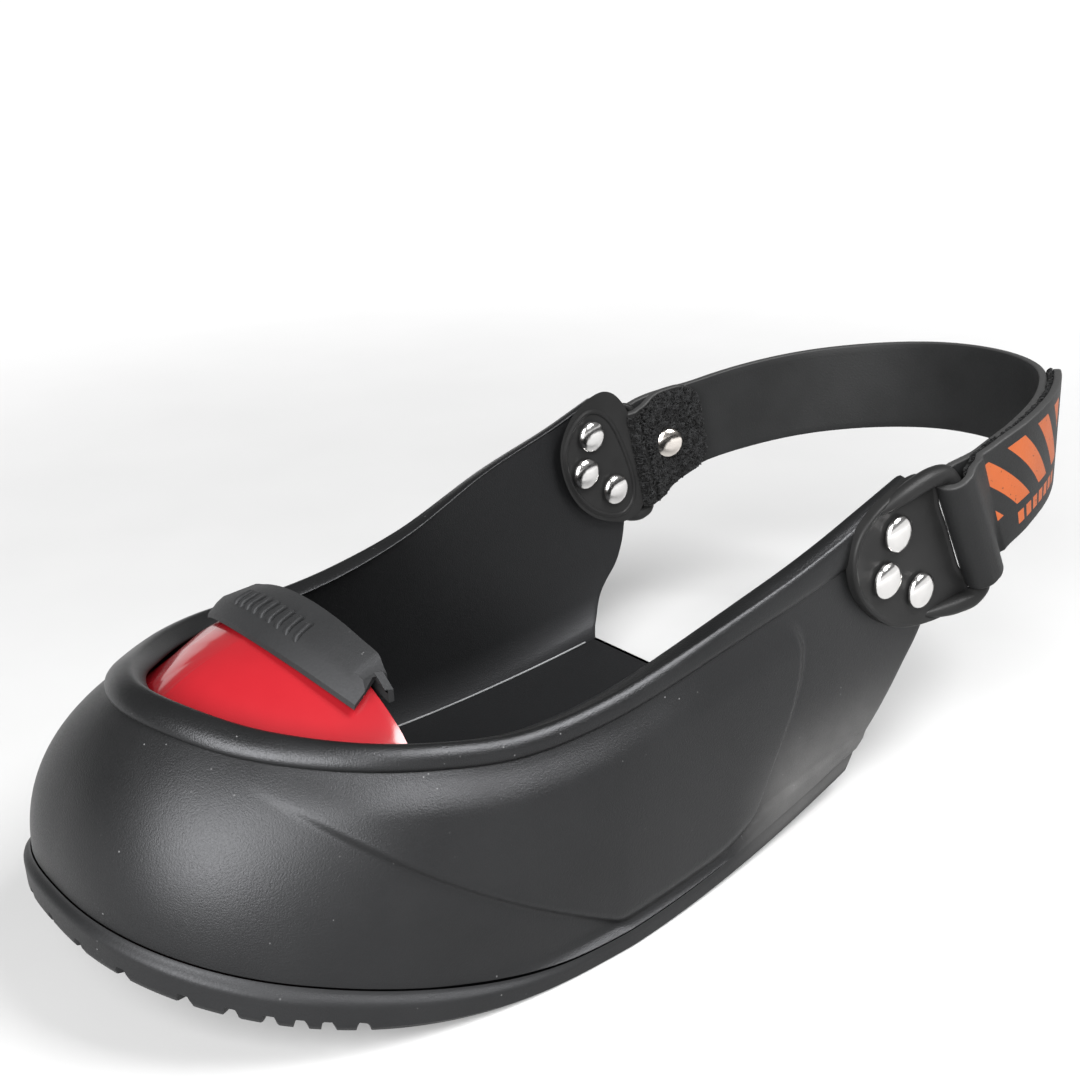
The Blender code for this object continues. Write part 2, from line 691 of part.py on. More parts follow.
def slot_ridge(name, parent):
    """Raised lip before the slot of the far plate."""
    low = RIDGE_ENDS[0] - PLATES[name]["half_height"]
    high = PLATES[name]["half_height"] - RIDGE_ENDS[1]
    across = np.linspace(low, high, 7)
    radius = RIDGE_RADIUS[0] + (RIDGE_RADIUS[1] - RIDGE_RADIUS[0]) * smooth(low, high - 1.5, across)
    radius[[0, -1]] *= 0.5
    along = np.full_like(across, PLATES[name]["slot"] - RIDGE_BEFORE_SLOT)
    away = np.full_like(across, PLATE_THICKNESS + 0.1)
    return tube(name + "_ridge", on_plate(name, along, across, away), radius, BAR_SIDES, parent)


def strap_plate(name, holes, parent):
    """D plate on the wing, with its loop joined on and its rivet holes cut."""
    front, half, slot = (PLATES[name][key] for key in ("front", "half_height", "slot"))
    angle = np.linspace(np.pi / 2, 3.0 * np.pi / 2, PLATE_ROUND_LINES)
    round_along = -front * np.abs(np.cos(angle)) ** PLATE_ROUND_POWER
    round_across = half * np.sign(np.sin(angle)) * np.abs(np.sin(angle)) ** PLATE_ROUND_POWER
    points = []
    levels = ((0.0, SEAT), (0.0, SEAT + PLATE_THICKNESS - PLATE_EDGE), (PLATE_EDGE, SEAT + PLATE_THICKNESS))
    for inset, away in levels:
        shrink = 1.0 - inset / half
        along = np.concatenate([[slot, slot], round_along * shrink])
        across = np.concatenate([[-half * shrink, half * shrink], round_across * shrink])
        points.append(on_plate(name, along, across, np.full_like(along, away)))
    ring = np.stack(points, 0)
    rows, lines = ring.shape[:2]
    faces = [(row * lines + line, row * lines + (line + 1) % lines,
              (row + 1) * lines + (line + 1) % lines, (row + 1) * lines + line)
             for row in range(rows - 1) for line in range(lines)]
    faces.append(tuple(range(lines)))
    faces.append(tuple((rows - 1) * lines + line for line in range(lines)))
    item = make_object(name, ring.reshape(-1, 3), faces, parent)
    boolean(item, loop_bar(name, parent), "UNION")
    if name.endswith("far"):
        boolean(item, slot_ridge(name, parent), "UNION")
    boolean(item, holes, "DIFFERENCE")
    paint(item, "plate")
    return item


# Rivets

def turned(name, profile, centre, away, parent):
    """Solid turned about the line through centre along away; profile rows are (radius, height)."""
    away = unit(np.asarray(away, float))
    side = unit(np.cross(away, np.array([0.3, 0.1, 1.0])))
    other = np.cross(away, side)
    turn = np.linspace(0.0, 2.0 * np.pi, RIVET_SIDES, endpoint=False)
    rings = []
    for radius, height in profile:
        spoke = np.cos(turn)[:, None] * side + np.sin(turn)[:, None] * other
        rings.append(centre + height * away + radius * spoke)
    grid = np.stack(rings, 1)
    faces = grid_faces(RIVET_SIDES, len(profile), closed_rows=True)
    if profile[0][0] > 0.0:
        faces.append(tuple(line * len(profile) for line in range(RIVET_SIDES)))
    if profile[-1][0] > 0.0:
        faces.append(tuple(line * len(profile) + len(profile) - 1 for line in range(RIVET_SIDES)))
    return make_object(name, grid.reshape(-1, 3), faces, parent, smooth_angle=50.0)


def rivet_profile(head_seat, tail_seat):
    """Domed head, shank and flat tail of a rivet between two seats."""
    rows = [(0.0, head_seat + RIVET_DOME)]
    for share in RIVET_DOME_ROWS:
        dome = (RIVET_DOME - RIVET_RIM) * np.sqrt(1.0 - share ** 2)
        rows.append((RIVET_HEAD * share, head_seat + RIVET_RIM + dome))
    rows += [(RIVET_HEAD - 0.2, head_seat), (RIVET_SHANK, head_seat), (RIVET_SHANK, tail_seat)]
    rows += [(RIVET_TAIL, tail_seat), (RIVET_TAIL - 0.3, tail_seat - RIVET_TAIL_HEIGHT)]
    return rows


def rivet_spots():
    """Name, plate and centre of each plate rivet on the wing face that its plate lies on."""
    spots = []
    for plate in PLATES:
        side = plate.rsplit("_", 1)[1]
        for number, (x, z) in enumerate(RIVET_PLACES, 1):
            spots.append((f"rivet_{side}_{number}", np.array([x, PLATES[plate]["face_y"], z])))
    return spots


def rivet_holes(parent):
    """Cutter with a hole for each plate rivet."""
    points, faces = [], []
    turn = np.linspace(0.0, 2.0 * np.pi, RIVET_SIDES, endpoint=False)
    bore = RIVET_SHANK + SEAT
    for _, centre in rivet_spots():
        start = len(points)
        for away in (-WALL - RIVET_CUT, SEAT + PLATE_THICKNESS + RIVET_CUT):
            for angle in turn:
                points.append(centre + (bore * np.cos(angle), -away, bore * np.sin(angle)))
        for line in range(RIVET_SIDES):
            after = (line + 1) % RIVET_SIDES
            faces.append((start + line, start + after, start + RIVET_SIDES + after,
                          start + RIVET_SIDES + line))
        faces.append(tuple(start + line for line in range(RIVET_SIDES)))
        faces.append(tuple(start + RIVET_SIDES + line for line in range(RIVET_SIDES)))
    return make_object("rivet_holes", points, faces, parent)


def rivets(parent):
    """Six rivets: head on the plate, tail on the other face of the wing."""
    head_seat = SEAT + PLATE_THICKNESS + SEAT
    for name, centre in rivet_spots():
        item = turned(name, rivet_profile(head_seat, -WALL - SEAT), centre, PLATE_AWAY, parent)
        paint(item, "rivet")


# Heel strap

def bar_centre(name, offset):
    """Middle of a plate's bar, moved along the bar by the strap's offset."""
    return on_plate(name, PLATES[name]["bar"], offset, BAR_HEIGHT)


def strap_main():
    """Strap between the two bars: points 2 mm apart on a smooth curve through the route."""
    wrap = BAR_RADIUS + SEAT + 0.5 * STRAP_THICKNESS
    inward = np.array([0.0, wrap, 0.0])
    first = bar_centre("strap_plate_far", STRAP_FAR_OFFSET) + inward
    last = bar_centre("strap_plate_near", STRAP_NEAR_OFFSET) + inward
    far_along = plate_frame("strap_plate_far")[1]
    near_along = plate_frame("strap_plate_near")[1]
    straight = (first + STRAP_STRAIGHT * far_along, last + STRAP_STRAIGHT * near_along)
    knots = np.vstack([first, straight[0], STRAP_ROUTE, straight[1], last])
    run = np.concatenate([[0.0], np.cumsum(np.linalg.norm(np.diff(knots, axis=0), axis=1))])
    dense = np.linspace(0.0, run[-1], 601)
    line = np.stack([through(dense, run, knots[:, i]) for i in range(3)], -1)
    length = np.concatenate([[0.0], np.cumsum(np.linalg.norm(np.diff(line, axis=0), axis=1))])
    return line, length


def strap_line():
    """Whole centre line and width directions: far end, far wrap, main run, near wrap, near end."""
    line, length = strap_main()
    wrap = BAR_RADIUS + SEAT + 0.5 * STRAP_THICKNESS
    total = length[-1]

    def at(distance):
        return np.stack([np.interp(distance, length, line[:, i]) for i in range(3)], -1)

    def layer(distance, from_bar, gap_end, pinch, side):
        tangent = unit(at(distance + 1.0) - at(distance - 1.0))
        flat = unit(np.cross(tangent, np.array([0.0, 0.0, 1.0])))
        gap = gap_end + (2.0 * wrap - gap_end) * (1.0 - smooth(*pinch, from_bar))
        return at(distance) + side * gap[:, None] * flat

    angles = np.linspace(0.0, np.pi, 9)[1:-1]
    pieces, lean = [], []
    far, near = "strap_plate_far", "strap_plate_near"
    far_steps = np.linspace(FAR_FOLD - 7, 1.5, 8)
    far_run = np.concatenate([FAR_FOLD - np.array(END_STEPS), far_steps])
    pieces.append(layer(far_run, far_run, STRAP_LAYERS, FAR_PINCH, 1.0))
    lean.append(np.zeros(len(far_run)))
    _, along, _, _ = plate_frame(far)
    centre = bar_centre(far, STRAP_FAR_OFFSET)
    round_far = np.stack([centre + wrap * (np.array([0.0, -np.cos(a), 0.0]) - np.sin(a) * along)
                          for a in angles])
    pieces.append(round_far)
    lean.append(np.zeros(len(angles)))
    run = np.concatenate([np.linspace(0.0, 12.0, 7), np.linspace(16.0, total - 16.0, 42),
                          np.linspace(total - 12.0, total, 7)])
    pieces.append(at(run))
    lean.append(run / total)
    _, along, _, _ = plate_frame(near)
    centre = bar_centre(near, STRAP_NEAR_OFFSET)
    round_near = np.stack([centre + wrap * (np.array([0.0, np.cos(a), 0.0]) - np.sin(a) * along)
                           for a in angles])
    pieces.append(round_near)
    lean.append(np.ones(len(angles)))
    near_steps = np.linspace(1.5, NEAR_FOLD - 7, 18)
    near_run = np.concatenate([near_steps, NEAR_FOLD - np.array(END_STEPS[::-1])])
    apart = STRAP_LAYERS + NEAR_SPRING * near_run / NEAR_FOLD
    pieces.append(layer(total - near_run, near_run, apart, NEAR_PINCH, -1.0))
    lean.append(np.ones(len(near_run)))
    centre_line = np.concatenate(pieces)
    share = np.concatenate(lean)[:, None]
    far_across = plate_frame(far)[2]
    near_across = plate_frame(near)[2]
    up = np.array([0.0, 0.0, 1.0])
    at_far = 1.0 - smooth(*FAR_TURN, share)
    at_near = smooth(*NEAR_TURN, share)
    across = up + (far_across - up) * at_far + (near_across - up) * at_near
    return centre_line, across


def heel_strap(holes, parent):
    """Flat strap swept along its line, with rounded corners at both ends."""
    centre, across = strap_line()
    step = np.linalg.norm(np.diff(centre, axis=0), axis=1)
    run = np.concatenate([[0.0], np.cumsum(step)])
    along = unit(np.gradient(centre, run, axis=0))
    across = unit(across - np.sum(across * along, axis=1, keepdims=True) * along)
    out = np.cross(along, across)
    from_end = np.minimum(run, run[-1] - run)
    rounding = 1.0 - np.clip(1.0 - from_end / STRAP_END_ROUND, 0.0, 1.0) ** 2
    half = 0.5 * STRAP_WIDTH - STRAP_END_ROUND * (1.0 - np.sqrt(rounding))
    half = half[:, None]
    thick = 0.5 * STRAP_THICKNESS
    corners = [centre + half * across + thick * out, centre - half * across + thick * out,
               centre - half * across - thick * out, centre + half * across - thick * out]
    ring = np.stack(corners, 0)
    lines = len(centre)
    faces = grid_faces(4, lines, closed_rows=True)
    for line in (0, lines - 1):
        faces.append(tuple(row * lines + line for row in range(4)))
    item = make_object("heel_strap", ring.reshape(-1, 3), faces, parent)
    boolean(item, holes, "DIFFERENCE")
    paint(item, "heel_strap")
    return item


def strap_rivet_axis():
    """Middle of the two strap layers at the rivet, and the direction through them to the inside."""
    line, length = strap_main()
    place = np.stack([np.interp(STRAP_RIVET_AT + d, length, line[:, i]) for i in range(3)
                      for d in (-1.0, 0.0, 1.0)]).reshape(3, 3)
    tangent = unit(place[:, 2] - place[:, 0])
    inside = unit(np.cross(tangent, np.array([0.0, 0.0, 1.0])))
    return place[:, 1] + 0.5 * STRAP_LAYERS * inside, inside


def strap_rivet(parent):
    """Rivet through both strap layers, and the cutter of its hole."""
    middle, inside = strap_rivet_axis()
    seat = 0.5 * (STRAP_LAYERS + STRAP_THICKNESS) + 2.0 * SEAT
    item = turned("strap_rivet", rivet_profile(seat, -seat), middle, inside, parent)
    paint(item, "rivet")
    bore = RIVET_SHANK + SEAT
    return turned("strap_rivet_hole", [(bore, 9.0), (bore, -9.0)], middle, inside, parent)


def clear_scene():
    """Start from an empty scene."""
    for item in list(bpy.data.objects):
        bpy.data.objects.remove(item, do_unlink=True)


def main():
    """Build every piece under one empty."""
    clear_scene()
    root = bpy.data.objects.new("overshoe", None)
    root.location = (-ORIGIN_X * MM, -ORIGIN_Y * MM, 0.0)
    bpy.context.scene.collection.objects.link(root)
    outsole(root)
    holes = rivet_holes(root)
    boolean(upper(root), holes, "DIFFERENCE")
    toe_cap(root)
    toe_cap_edge_strip(root)
    for name in PLATES:
        strap_plate(name, holes, root)
    rivets(root)
    heel_strap(strap_rivet(root), root)


main()
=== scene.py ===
# %% [markdown]
# # Overshoe with a steel toe cap
# The real object is a rubber toe shoe that a guest pulls over a street shoe. It has a red steel cap under
# an open collar, two moulded plates with rivets, and a strap behind the heel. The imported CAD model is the
# frame: each piece below is laid over its own solid, in the same place, with finer form and a finish.

import bmesh
import bpy
import numpy as np
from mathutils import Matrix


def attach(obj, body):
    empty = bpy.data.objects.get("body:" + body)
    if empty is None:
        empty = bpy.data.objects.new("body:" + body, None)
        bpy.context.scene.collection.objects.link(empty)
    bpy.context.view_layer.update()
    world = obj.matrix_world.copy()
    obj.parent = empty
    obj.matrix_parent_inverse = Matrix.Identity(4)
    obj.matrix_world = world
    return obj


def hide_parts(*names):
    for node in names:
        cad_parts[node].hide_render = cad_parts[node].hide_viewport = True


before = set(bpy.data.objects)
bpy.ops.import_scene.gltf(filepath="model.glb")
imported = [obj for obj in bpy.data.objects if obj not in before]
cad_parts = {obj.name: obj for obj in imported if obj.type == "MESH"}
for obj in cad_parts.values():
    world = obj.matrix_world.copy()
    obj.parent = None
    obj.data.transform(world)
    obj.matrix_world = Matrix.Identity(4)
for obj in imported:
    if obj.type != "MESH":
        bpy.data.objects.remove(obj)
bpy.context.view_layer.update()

print("solids:", ", ".join(sorted(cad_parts)))

# %% [markdown]
# ## One layout for all sizes
# A shoemaker measures from the toe tip: x runs to the heel, z up from the floor, y to the far side as the
# camera sees it. All sizes below are millimetres in that layout. One shift and one scale bring them to the
# frame, so no object has to be moved afterwards.

# %% Layout and curve helpers
MM = 0.001
ORIGIN = np.array([139.4, -2.43, 0.0])
UP = np.array([0.0, 0.0, 1.0])
SIDEWAYS = np.array([0.0, 1.0, 0.0])


def smooth(low, high, value):
    """Ease s*s*(3 - 2s) of the share s = (value - low) / (high - low), held between 0 and 1."""
    share = np.clip((value - low) / (high - low), 0.0, 1.0)
    return share * share * (3.0 - 2.0 * share)


def unit(vectors):
    """Each vector divided by its own length."""
    return vectors / np.linalg.norm(vectors, axis=-1, keepdims=True)


def through(where, knots, values):
    """Cubic through the knots: on each cell the two values and the two mean slopes set the curve."""
    knots = np.asarray(knots, float)
    values = np.asarray(values, float)
    slope = np.gradient(values, knots)
    cell = np.clip(np.searchsorted(knots, where, side="right") - 1, 0, len(knots) - 2)
    step = knots[cell + 1] - knots[cell]
    t = (where - knots[cell]) / step
    rise = (3.0 - 2.0 * t) * t * t
    return ((1.0 - rise) * values[cell] + rise * values[cell + 1]
            + step * t * (1.0 - t) * ((1.0 - t) * slope[cell] - t * slope[cell + 1]))


def named(table, columns):
    """Table columns by name, as arrays."""
    return dict(zip(columns, np.asarray(table, float).T))


def mirrored(table, name, sign=1.0):
    """Knots and values of a column, continued to the other side of the shoe."""
    knots, values = table["around"], table[name]
    return np.concatenate([-knots[:0:-1], knots]), np.concatenate([sign * values[:0:-1], values])


def travel(line):
    """Distance along a line of points: the running sum of its steps."""
    return np.concatenate([[0.0], np.cumsum(np.linalg.norm(np.diff(line, axis=0), axis=1))])


def curve(points, where):
    """Smooth line through points at distances along them: each column is a cubic of the distance."""
    run = travel(points)
    return np.stack([through(where, run, column) for column in points.T], -1)


def circle(sides):
    """Unit circle as (cos, sin) rows, started half a step on so that it mirrors on itself."""
    turn = (np.arange(sides) + 0.5) * 2.0 * np.pi / sides
    return np.stack([np.cos(turn), np.sin(turn)], -1)


print("layout origin in the frame, mm:", -ORIGIN)

# %% [markdown]
# ## From grids to meshes
# Every piece is a grid of points worked out at once with numpy. A grid can be closed on itself in one
# direction, like a hose, and its ends can be drawn in to a line or a point. Points that fall together are
# merged, which closes seams and poles, and the faces are then turned outwards.

# %% Mesh helpers
MERGE = 2e-6
END_STEPS = 4


def cells(rows, columns, wrap):
    """Corner numbers of a grid's cells; a wrapped grid joins its last column to its first."""
    index = np.arange(rows * columns).reshape(rows, columns)
    if wrap:
        index = np.hstack([index, index[:, :1]])
    corners = (index[:-1, :-1], index[:-1, 1:], index[1:, 1:], index[1:, :-1])
    return np.stack(corners, -1).reshape(-1, 4)


def repeated(shape, wrap):
    """Cells of one grid, or of a stack of equal grids numbered one after another."""
    rows, columns = shape[-3:-1]
    one = cells(rows, columns, wrap)
    stack = int(np.prod(shape[:-3]))
    return (one[None] + np.arange(stack)[:, None, None] * rows * columns).reshape(-1, 4)


def piece(name, grids, finish, slot, nodes=(), sharp=40.0, **values):
    """Object from (grid, wrap) pairs in layout mm, with point values by name."""
    points = np.concatenate([grid.reshape(-1, 3) for grid, _ in grids])
    starts = np.cumsum([0] + [grid[..., 0].size for grid, _ in grids])
    faces = np.concatenate([repeated(grid.shape, wrap) + start for (grid, wrap), start in zip(grids, starts)])
    mesh = bpy.data.meshes.new(name)
    mesh.from_pydata(((points - ORIGIN) * MM).tolist(), [], faces.tolist())
    for label, data in values.items():
        layer = mesh.attributes.new(label, "FLOAT", "POINT")
        layer.data.foreach_set("value", np.ascontiguousarray(data, dtype=np.float32).ravel())
    work = bmesh.new()
    work.from_mesh(mesh)
    bmesh.ops.remove_doubles(work, verts=work.verts, dist=MERGE)
    bmesh.ops.dissolve_degenerate(work, edges=work.edges, dist=MERGE)
    bmesh.ops.recalc_face_normals(work, faces=work.faces)
    work.to_mesh(mesh)
    work.free()
    mesh.shade_smooth()
    mesh.set_sharp_from_angle(angle=np.radians(sharp))
    item = bpy.data.objects.new(name, mesh)
    bpy.context.scene.collection.objects.link(item)
    mesh.materials.append(finish)
    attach(item, "root")
    if nodes:
        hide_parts(*nodes)
    print(name, len(mesh.polygons), "faces")
    return item


def drawn_in(ring, reach):
    """Ring lines with both ends closed: each end shrinks to its middle on a quarter circle of that reach."""
    middle = 0.5 * (ring + ring[:, ::-1])
    turn = np.linspace(0.0, np.pi / 2, END_STEPS + 1)[1:, None, None]

    def end(last, before):
        way = reach * unit(middle[last] - middle[before])
        return middle[last] + (ring[last] - middle[last]) * np.cos(turn) + way * np.sin(turn)

    return np.concatenate([end(0, 1)[::-1], ring, end(-1, -2)])


def bar_section(half_width, half_height, radius, along_top=9, along_corner=4):
    """Rounded bar: (across, away) from the middle of one side over the top, then mirrored below."""
    turn = np.linspace(np.pi, np.pi / 2, along_corner + 1)
    corner = np.array([radius - half_width, half_height - radius])
    left = corner + radius * np.stack([np.cos(turn), np.sin(turn)], -1)
    right = left[::-1] * (-1.0, 1.0)
    flat = np.linspace(left[-1], right[0], along_top + 2)[1:-1]
    top = np.concatenate([left, flat, right])
    return np.concatenate([top, top[::-1] * (1.0, -1.0)])


def swept(centre, across, section):
    """Section carried along a line: centre + section[0] * across + section[1] * (along x across)."""
    along = unit(np.gradient(centre, travel(centre), axis=0))
    across = unit(across - np.sum(across * along, axis=-1, keepdims=True) * along)
    away = np.cross(along, across)
    return (centre[:, None] + section[..., 0, None] * across[:, None]
            + section[..., 1, None] * away[:, None])


print("merge distance, mm:", MERGE / MM)

# %% [markdown]
# ## Finishes as expressions
# A finish is a node tree. Written node by node it is hard to read, so one small class wraps a socket and
# lets Python's own arithmetic add the Math nodes, and one method makes every other node.

# %% Finish helper
class Value:
    """A socket of a finish; arithmetic on it adds Math nodes."""

    def __init__(self, finish, socket):
        self.finish = finish
        self.socket = socket

    def maths(self, operation, *others, swap=False):
        parts = [self, *others]
        if swap:
            parts.reverse()
        return self.finish.node("ShaderNodeMath", {"operation": operation}, dict(enumerate(parts)))

    def __add__(self, other):
        return self.maths("ADD", other)

    def __sub__(self, other):
        return self.maths("SUBTRACT", other)

    def __rsub__(self, other):
        return self.maths("SUBTRACT", other, swap=True)

    def __mul__(self, other):
        return self.maths("MULTIPLY", other)

    def __truediv__(self, other):
        return self.maths("DIVIDE", other)

    __radd__ = __add__
    __rmul__ = __mul__

    def within(self, low, high):
        """1 where the value lies between two limits, else 0."""
        return self.maths("GREATER_THAN", low) * self.maths("LESS_THAN", high)

    def ease(self, low, high):
        """Smooth step from 0 at low to 1 at high."""
        settings = {"interpolation_type": "SMOOTHSTEP"}
        sockets = {"Value": self, "From Min": low, "From Max": high}
        return self.finish.node("ShaderNodeMapRange", settings, sockets)


class Finish:
    """A material under construction."""

    def __init__(self, name, **fixed):
        self.material = bpy.data.materials.new(name)
        self.material.use_nodes = True
        self.tree = self.material.node_tree
        self.shader = self.tree.nodes["Principled BSDF"]
        for label, value in fixed.items():
            self.shader.inputs[label.replace("_", " ").title().replace("Ior", "IOR")].default_value = value
        self.place = self.node("ShaderNodeTexCoord", output="Object")

    def node(self, kind, settings=None, sockets=None, output=0):
        """New node: its settings first, then the values or links of its sockets; gives one output."""
        made = self.tree.nodes.new(kind)
        for label, value in (settings or {}).items():
            setattr(made, label, value)
        for label, value in (sockets or {}).items():
            self.feed(made.inputs[label], value)
        return Value(self, made.outputs[output])

    def feed(self, socket, value):
        """Link a Value to a socket, or set a plain number or colour on it."""
        if isinstance(value, Value):
            self.tree.links.new(value.socket, socket)
        else:
            socket.default_value = value

    def noise(self, size_mm, detail=2.0):
        """Noise between 0 and 1 with features of about that size."""
        sockets = {"Vector": self.place, "Scale": 1.0 / (size_mm * MM), "Detail": detail}
        return self.node("ShaderNodeTexNoise", None, sockets)

    def grains(self, size_mm):
        """Distance to the nearest of many scattered points, in cell sizes."""
        return self.node("ShaderNodeTexVoronoi", None, {"Vector": self.place, "Scale": 1.0 / (size_mm * MM)})

    def own(self, label):
        """A value that the piece carries on its points."""
        return self.node("ShaderNodeAttribute", {"attribute_name": label}, output="Fac")

    def blend(self, share, first, second):
        """Colour between two colours."""
        settings = {"data_type": "RGBA"}
        sockets = {0: share, 6: first, 7: second}
        return self.node("ShaderNodeMix", settings, sockets, output=2)

    def finished(self, colour, roughness, height, depth_mm, coat=None):
        """Feed the shader: colour, roughness, a bump of that depth and, for lacquer, the coat's weight."""
        bump = self.node("ShaderNodeBump", None, {"Height": height, "Distance": depth_mm * MM})
        fed = {"Base Color": colour, "Roughness": roughness, "Coat Weight": coat, "Normal": bump}
        for label, value in fed.items():
            if value is not None:
                self.feed(self.shader.inputs[label], value)
        print("finish", self.material.name, len(self.tree.nodes), "nodes")
        return self.material


# %% [markdown]
# ## Rubber, paint, plastic, webbing and nickel
# The moulded rubber is charcoal and satin, with a very fine mould grain and a few pale specks of dust.
# The strip and the sole are the same stuff, duller. Paint is smooth and clear coated. The strap has a
# pressed grain. Each varies a little in colour and gloss, because no moulding is even.

# %% Finishes
def tone(grey, warm=0.0):
    """A dark neutral colour, a little warm or cool."""
    return (grey * (1.0 + warm), grey, grey * (1.0 - warm), 1.0)


DUST_AND_SHEEN_SHARE = 0.34
RIM_POLISH = 0.07
CLOUD = (0.3, 0.7)
RUBBER_CLOUD_MM, RUBBER_FINE_MM = 22.0, 0.16
SPECK_MM, SPECK_EDGE = 2.6, (0.05, 0.085)
SPECKS_MM, SPECKS_SHARE = 9.0, (0.53, 0.66)
SPARKLE_SHARE, SPARKLE = (0.62, 0.80), 0.30
DUST_AND_SHEEN_GREY = 0.16
LACQUER = ((0.160, 0.004, 0.007, 1.0), (0.178, 0.006, 0.009, 1.0))
LACQUER_SCUFF = (0.50, 0.13, 0.13, 1.0)
PLATE_GREYS = (0.0075, 0.0100)
NICKEL_GREYS = (0.62, 0.76)


def rubber(name, grey, gloss, dust=0.5, grain_mm=0.45, depth_mm=0.05):
    """Moulded rubber: cloudy grey, fine grain, pale specks."""
    coat = Finish(name, specular_ior_level=0.27, specular_tint=(0.95, 0.96, 1.0, 1.0))
    cloud = coat.noise(RUBBER_CLOUD_MM, 4.0)
    grain = coat.noise(grain_mm, 3.0)
    fine = coat.noise(RUBBER_FINE_MM, 1.0)
    speck = 1.0 - coat.grains(SPECK_MM).ease(*SPECK_EDGE)
    rare = coat.noise(SPECKS_MM, 2.0).ease(*SPECKS_SHARE)
    dusty = speck * rare * dust
    body = coat.blend(cloud.ease(*CLOUD), tone(grey * 0.86, -0.02), tone(grey * 1.14, -0.02))
    sparkle = coat.blend(fine.ease(*SPARKLE_SHARE) * SPARKLE, body, tone(grey * 3.0))
    colour = coat.blend(dusty, sparkle, tone(DUST_AND_SHEEN_GREY))
    inside, dust_and_sheen_band = coat.own("inside"), coat.own("dust") * (0.55 + 0.6 * coat.noise(5.0, 4.0))
    # Points marked inside, the inner face of the wall and the floor of the sole, are painted darker: painted
    # shade inside the shoe.
    colour = coat.blend(inside, colour, tone(0.35 * grey, -0.06))
    # Pale band low on the rear wall: partly dust, partly a painted reflection of the white floor.
    colour = coat.blend(dust_and_sheen_band * DUST_AND_SHEEN_SHARE, colour, tone(DUST_AND_SHEEN_GREY, 0.02))
    uneven = gloss + (cloud - 0.5) * 0.12 + (grain - 0.5) * 0.24
    rough = uneven + dusty * 0.3 + inside * 0.14 + dust_and_sheen_band * 0.1 - coat.own("rim") * RIM_POLISH
    return coat.finished(colour, rough, grain * 0.7 + fine * 0.3, depth_mm)


def paint(name):
    """Red lacquer on pressed steel: deep colour, clear coat, faint orange peel."""
    coat = Finish(name, coat_roughness=0.12, coat_ior=1.5, specular_ior_level=0.05)
    cloud = coat.noise(30.0, 3.0)
    peel = coat.noise(2.4, 2.0)
    scuff = coat.noise(0.5, 2.0).ease(0.70, 0.80) * coat.noise(14.0, 2.0).ease(0.55, 0.75)
    colour = coat.blend(cloud.ease(*CLOUD), *LACQUER)
    colour = coat.blend(scuff * 0.25, colour, LACQUER_SCUFF)
    return coat.finished(colour, 0.42 + cloud * 0.08 + scuff * 0.2, peel, 0.02, 0.80 - scuff * 0.5)


def plastic(name):
    """Moulded plate: smoother and darker than the rubber, with soft flow marks."""
    coat = Finish(name, specular_ior_level=0.12)
    cloud = coat.noise(12.0, 3.0)
    grain = coat.noise(0.25, 2.0)
    colour = coat.blend(cloud.ease(*CLOUD), *map(tone, PLATE_GREYS))
    return coat.finished(colour, 0.40 + (cloud - 0.5) * 0.16 + grain * 0.08, grain, 0.012)


def nickel(name, warm):
    """Plated rivet: bright, with fine handling marks."""
    coat = Finish(name, metallic=1.0)
    cloud = coat.noise(3.0, 3.0)
    marks = coat.noise(0.35, 3.0)
    colour = coat.blend(cloud, *(tone(grey, warm) for grey in NICKEL_GREYS))
    return coat.finished(colour, 0.10 + marks * 0.10 + cloud * 0.05, marks, 0.006)


upper_finish = rubber("upper_rubber", 0.0042, 0.42, grain_mm=0.36, depth_mm=0.085)
sole_finish = rubber("outsole_rubber", 0.0045, 0.52)
strip_finish = rubber("strip_rubber", 0.0085, 0.62, dust=0.35, grain_mm=0.6, depth_mm=0.06)
# Pale grey of the cord at the inner foot: a painted highlight, not the rubber's own colour.
highlight_cord_finish = rubber("highlight_cord_rubber", 0.12, 0.50)
cap_finish = paint("cap_paint")
plate_finish = plastic("plate_plastic")
rivet_finish = nickel("rivet_nickel", 0.015)
strap_rivet_finish = nickel("strap_rivet_nickel", 0.07)

# %% [markdown]
# ## Sole
# The sole is a moulded plate with a bead round its side, a raised toe and lugs below. Its outline is a
# superellipse at the toe that runs into tapering sides. One parameter goes round the outline from the near
# rear corner over the toe to the far one, the other goes round the section: tread, bead, and the floor,
# which lies a little lower than the bead.

# %% Sole outline and heights
SEAT = 0.3
FLOOR_DISH = 2.0
FLOOR_DISH_RISE = 0.14
SOLE_LENGTH = 176.4
BALL_X = 97.4
BALL_HALF_WIDTH = 60.0
REAR_HALF_WIDTH = 50.0
TOE_ROUNDNESS = 2.45
REAR_TAPER = 1.27
TOE_SPRING = 22.2
SPRING_END_X = 84.3
TREAD_FLAT_X = 66.0
REAR_RISE = 6.0
BEAD_TOE_HEIGHT = 8.6
BEAD_SIDE_HEIGHT = 4.2
BEAD_REAR_HEIGHT = 5.2
BEAD_FADE_TOE = (28.0, 88.0)
BEAD_FADE_REAR = (115.0, SOLE_LENGTH)
TREAD_SLOPE = (0.04, 0.26)
SPINE_X = 60.0


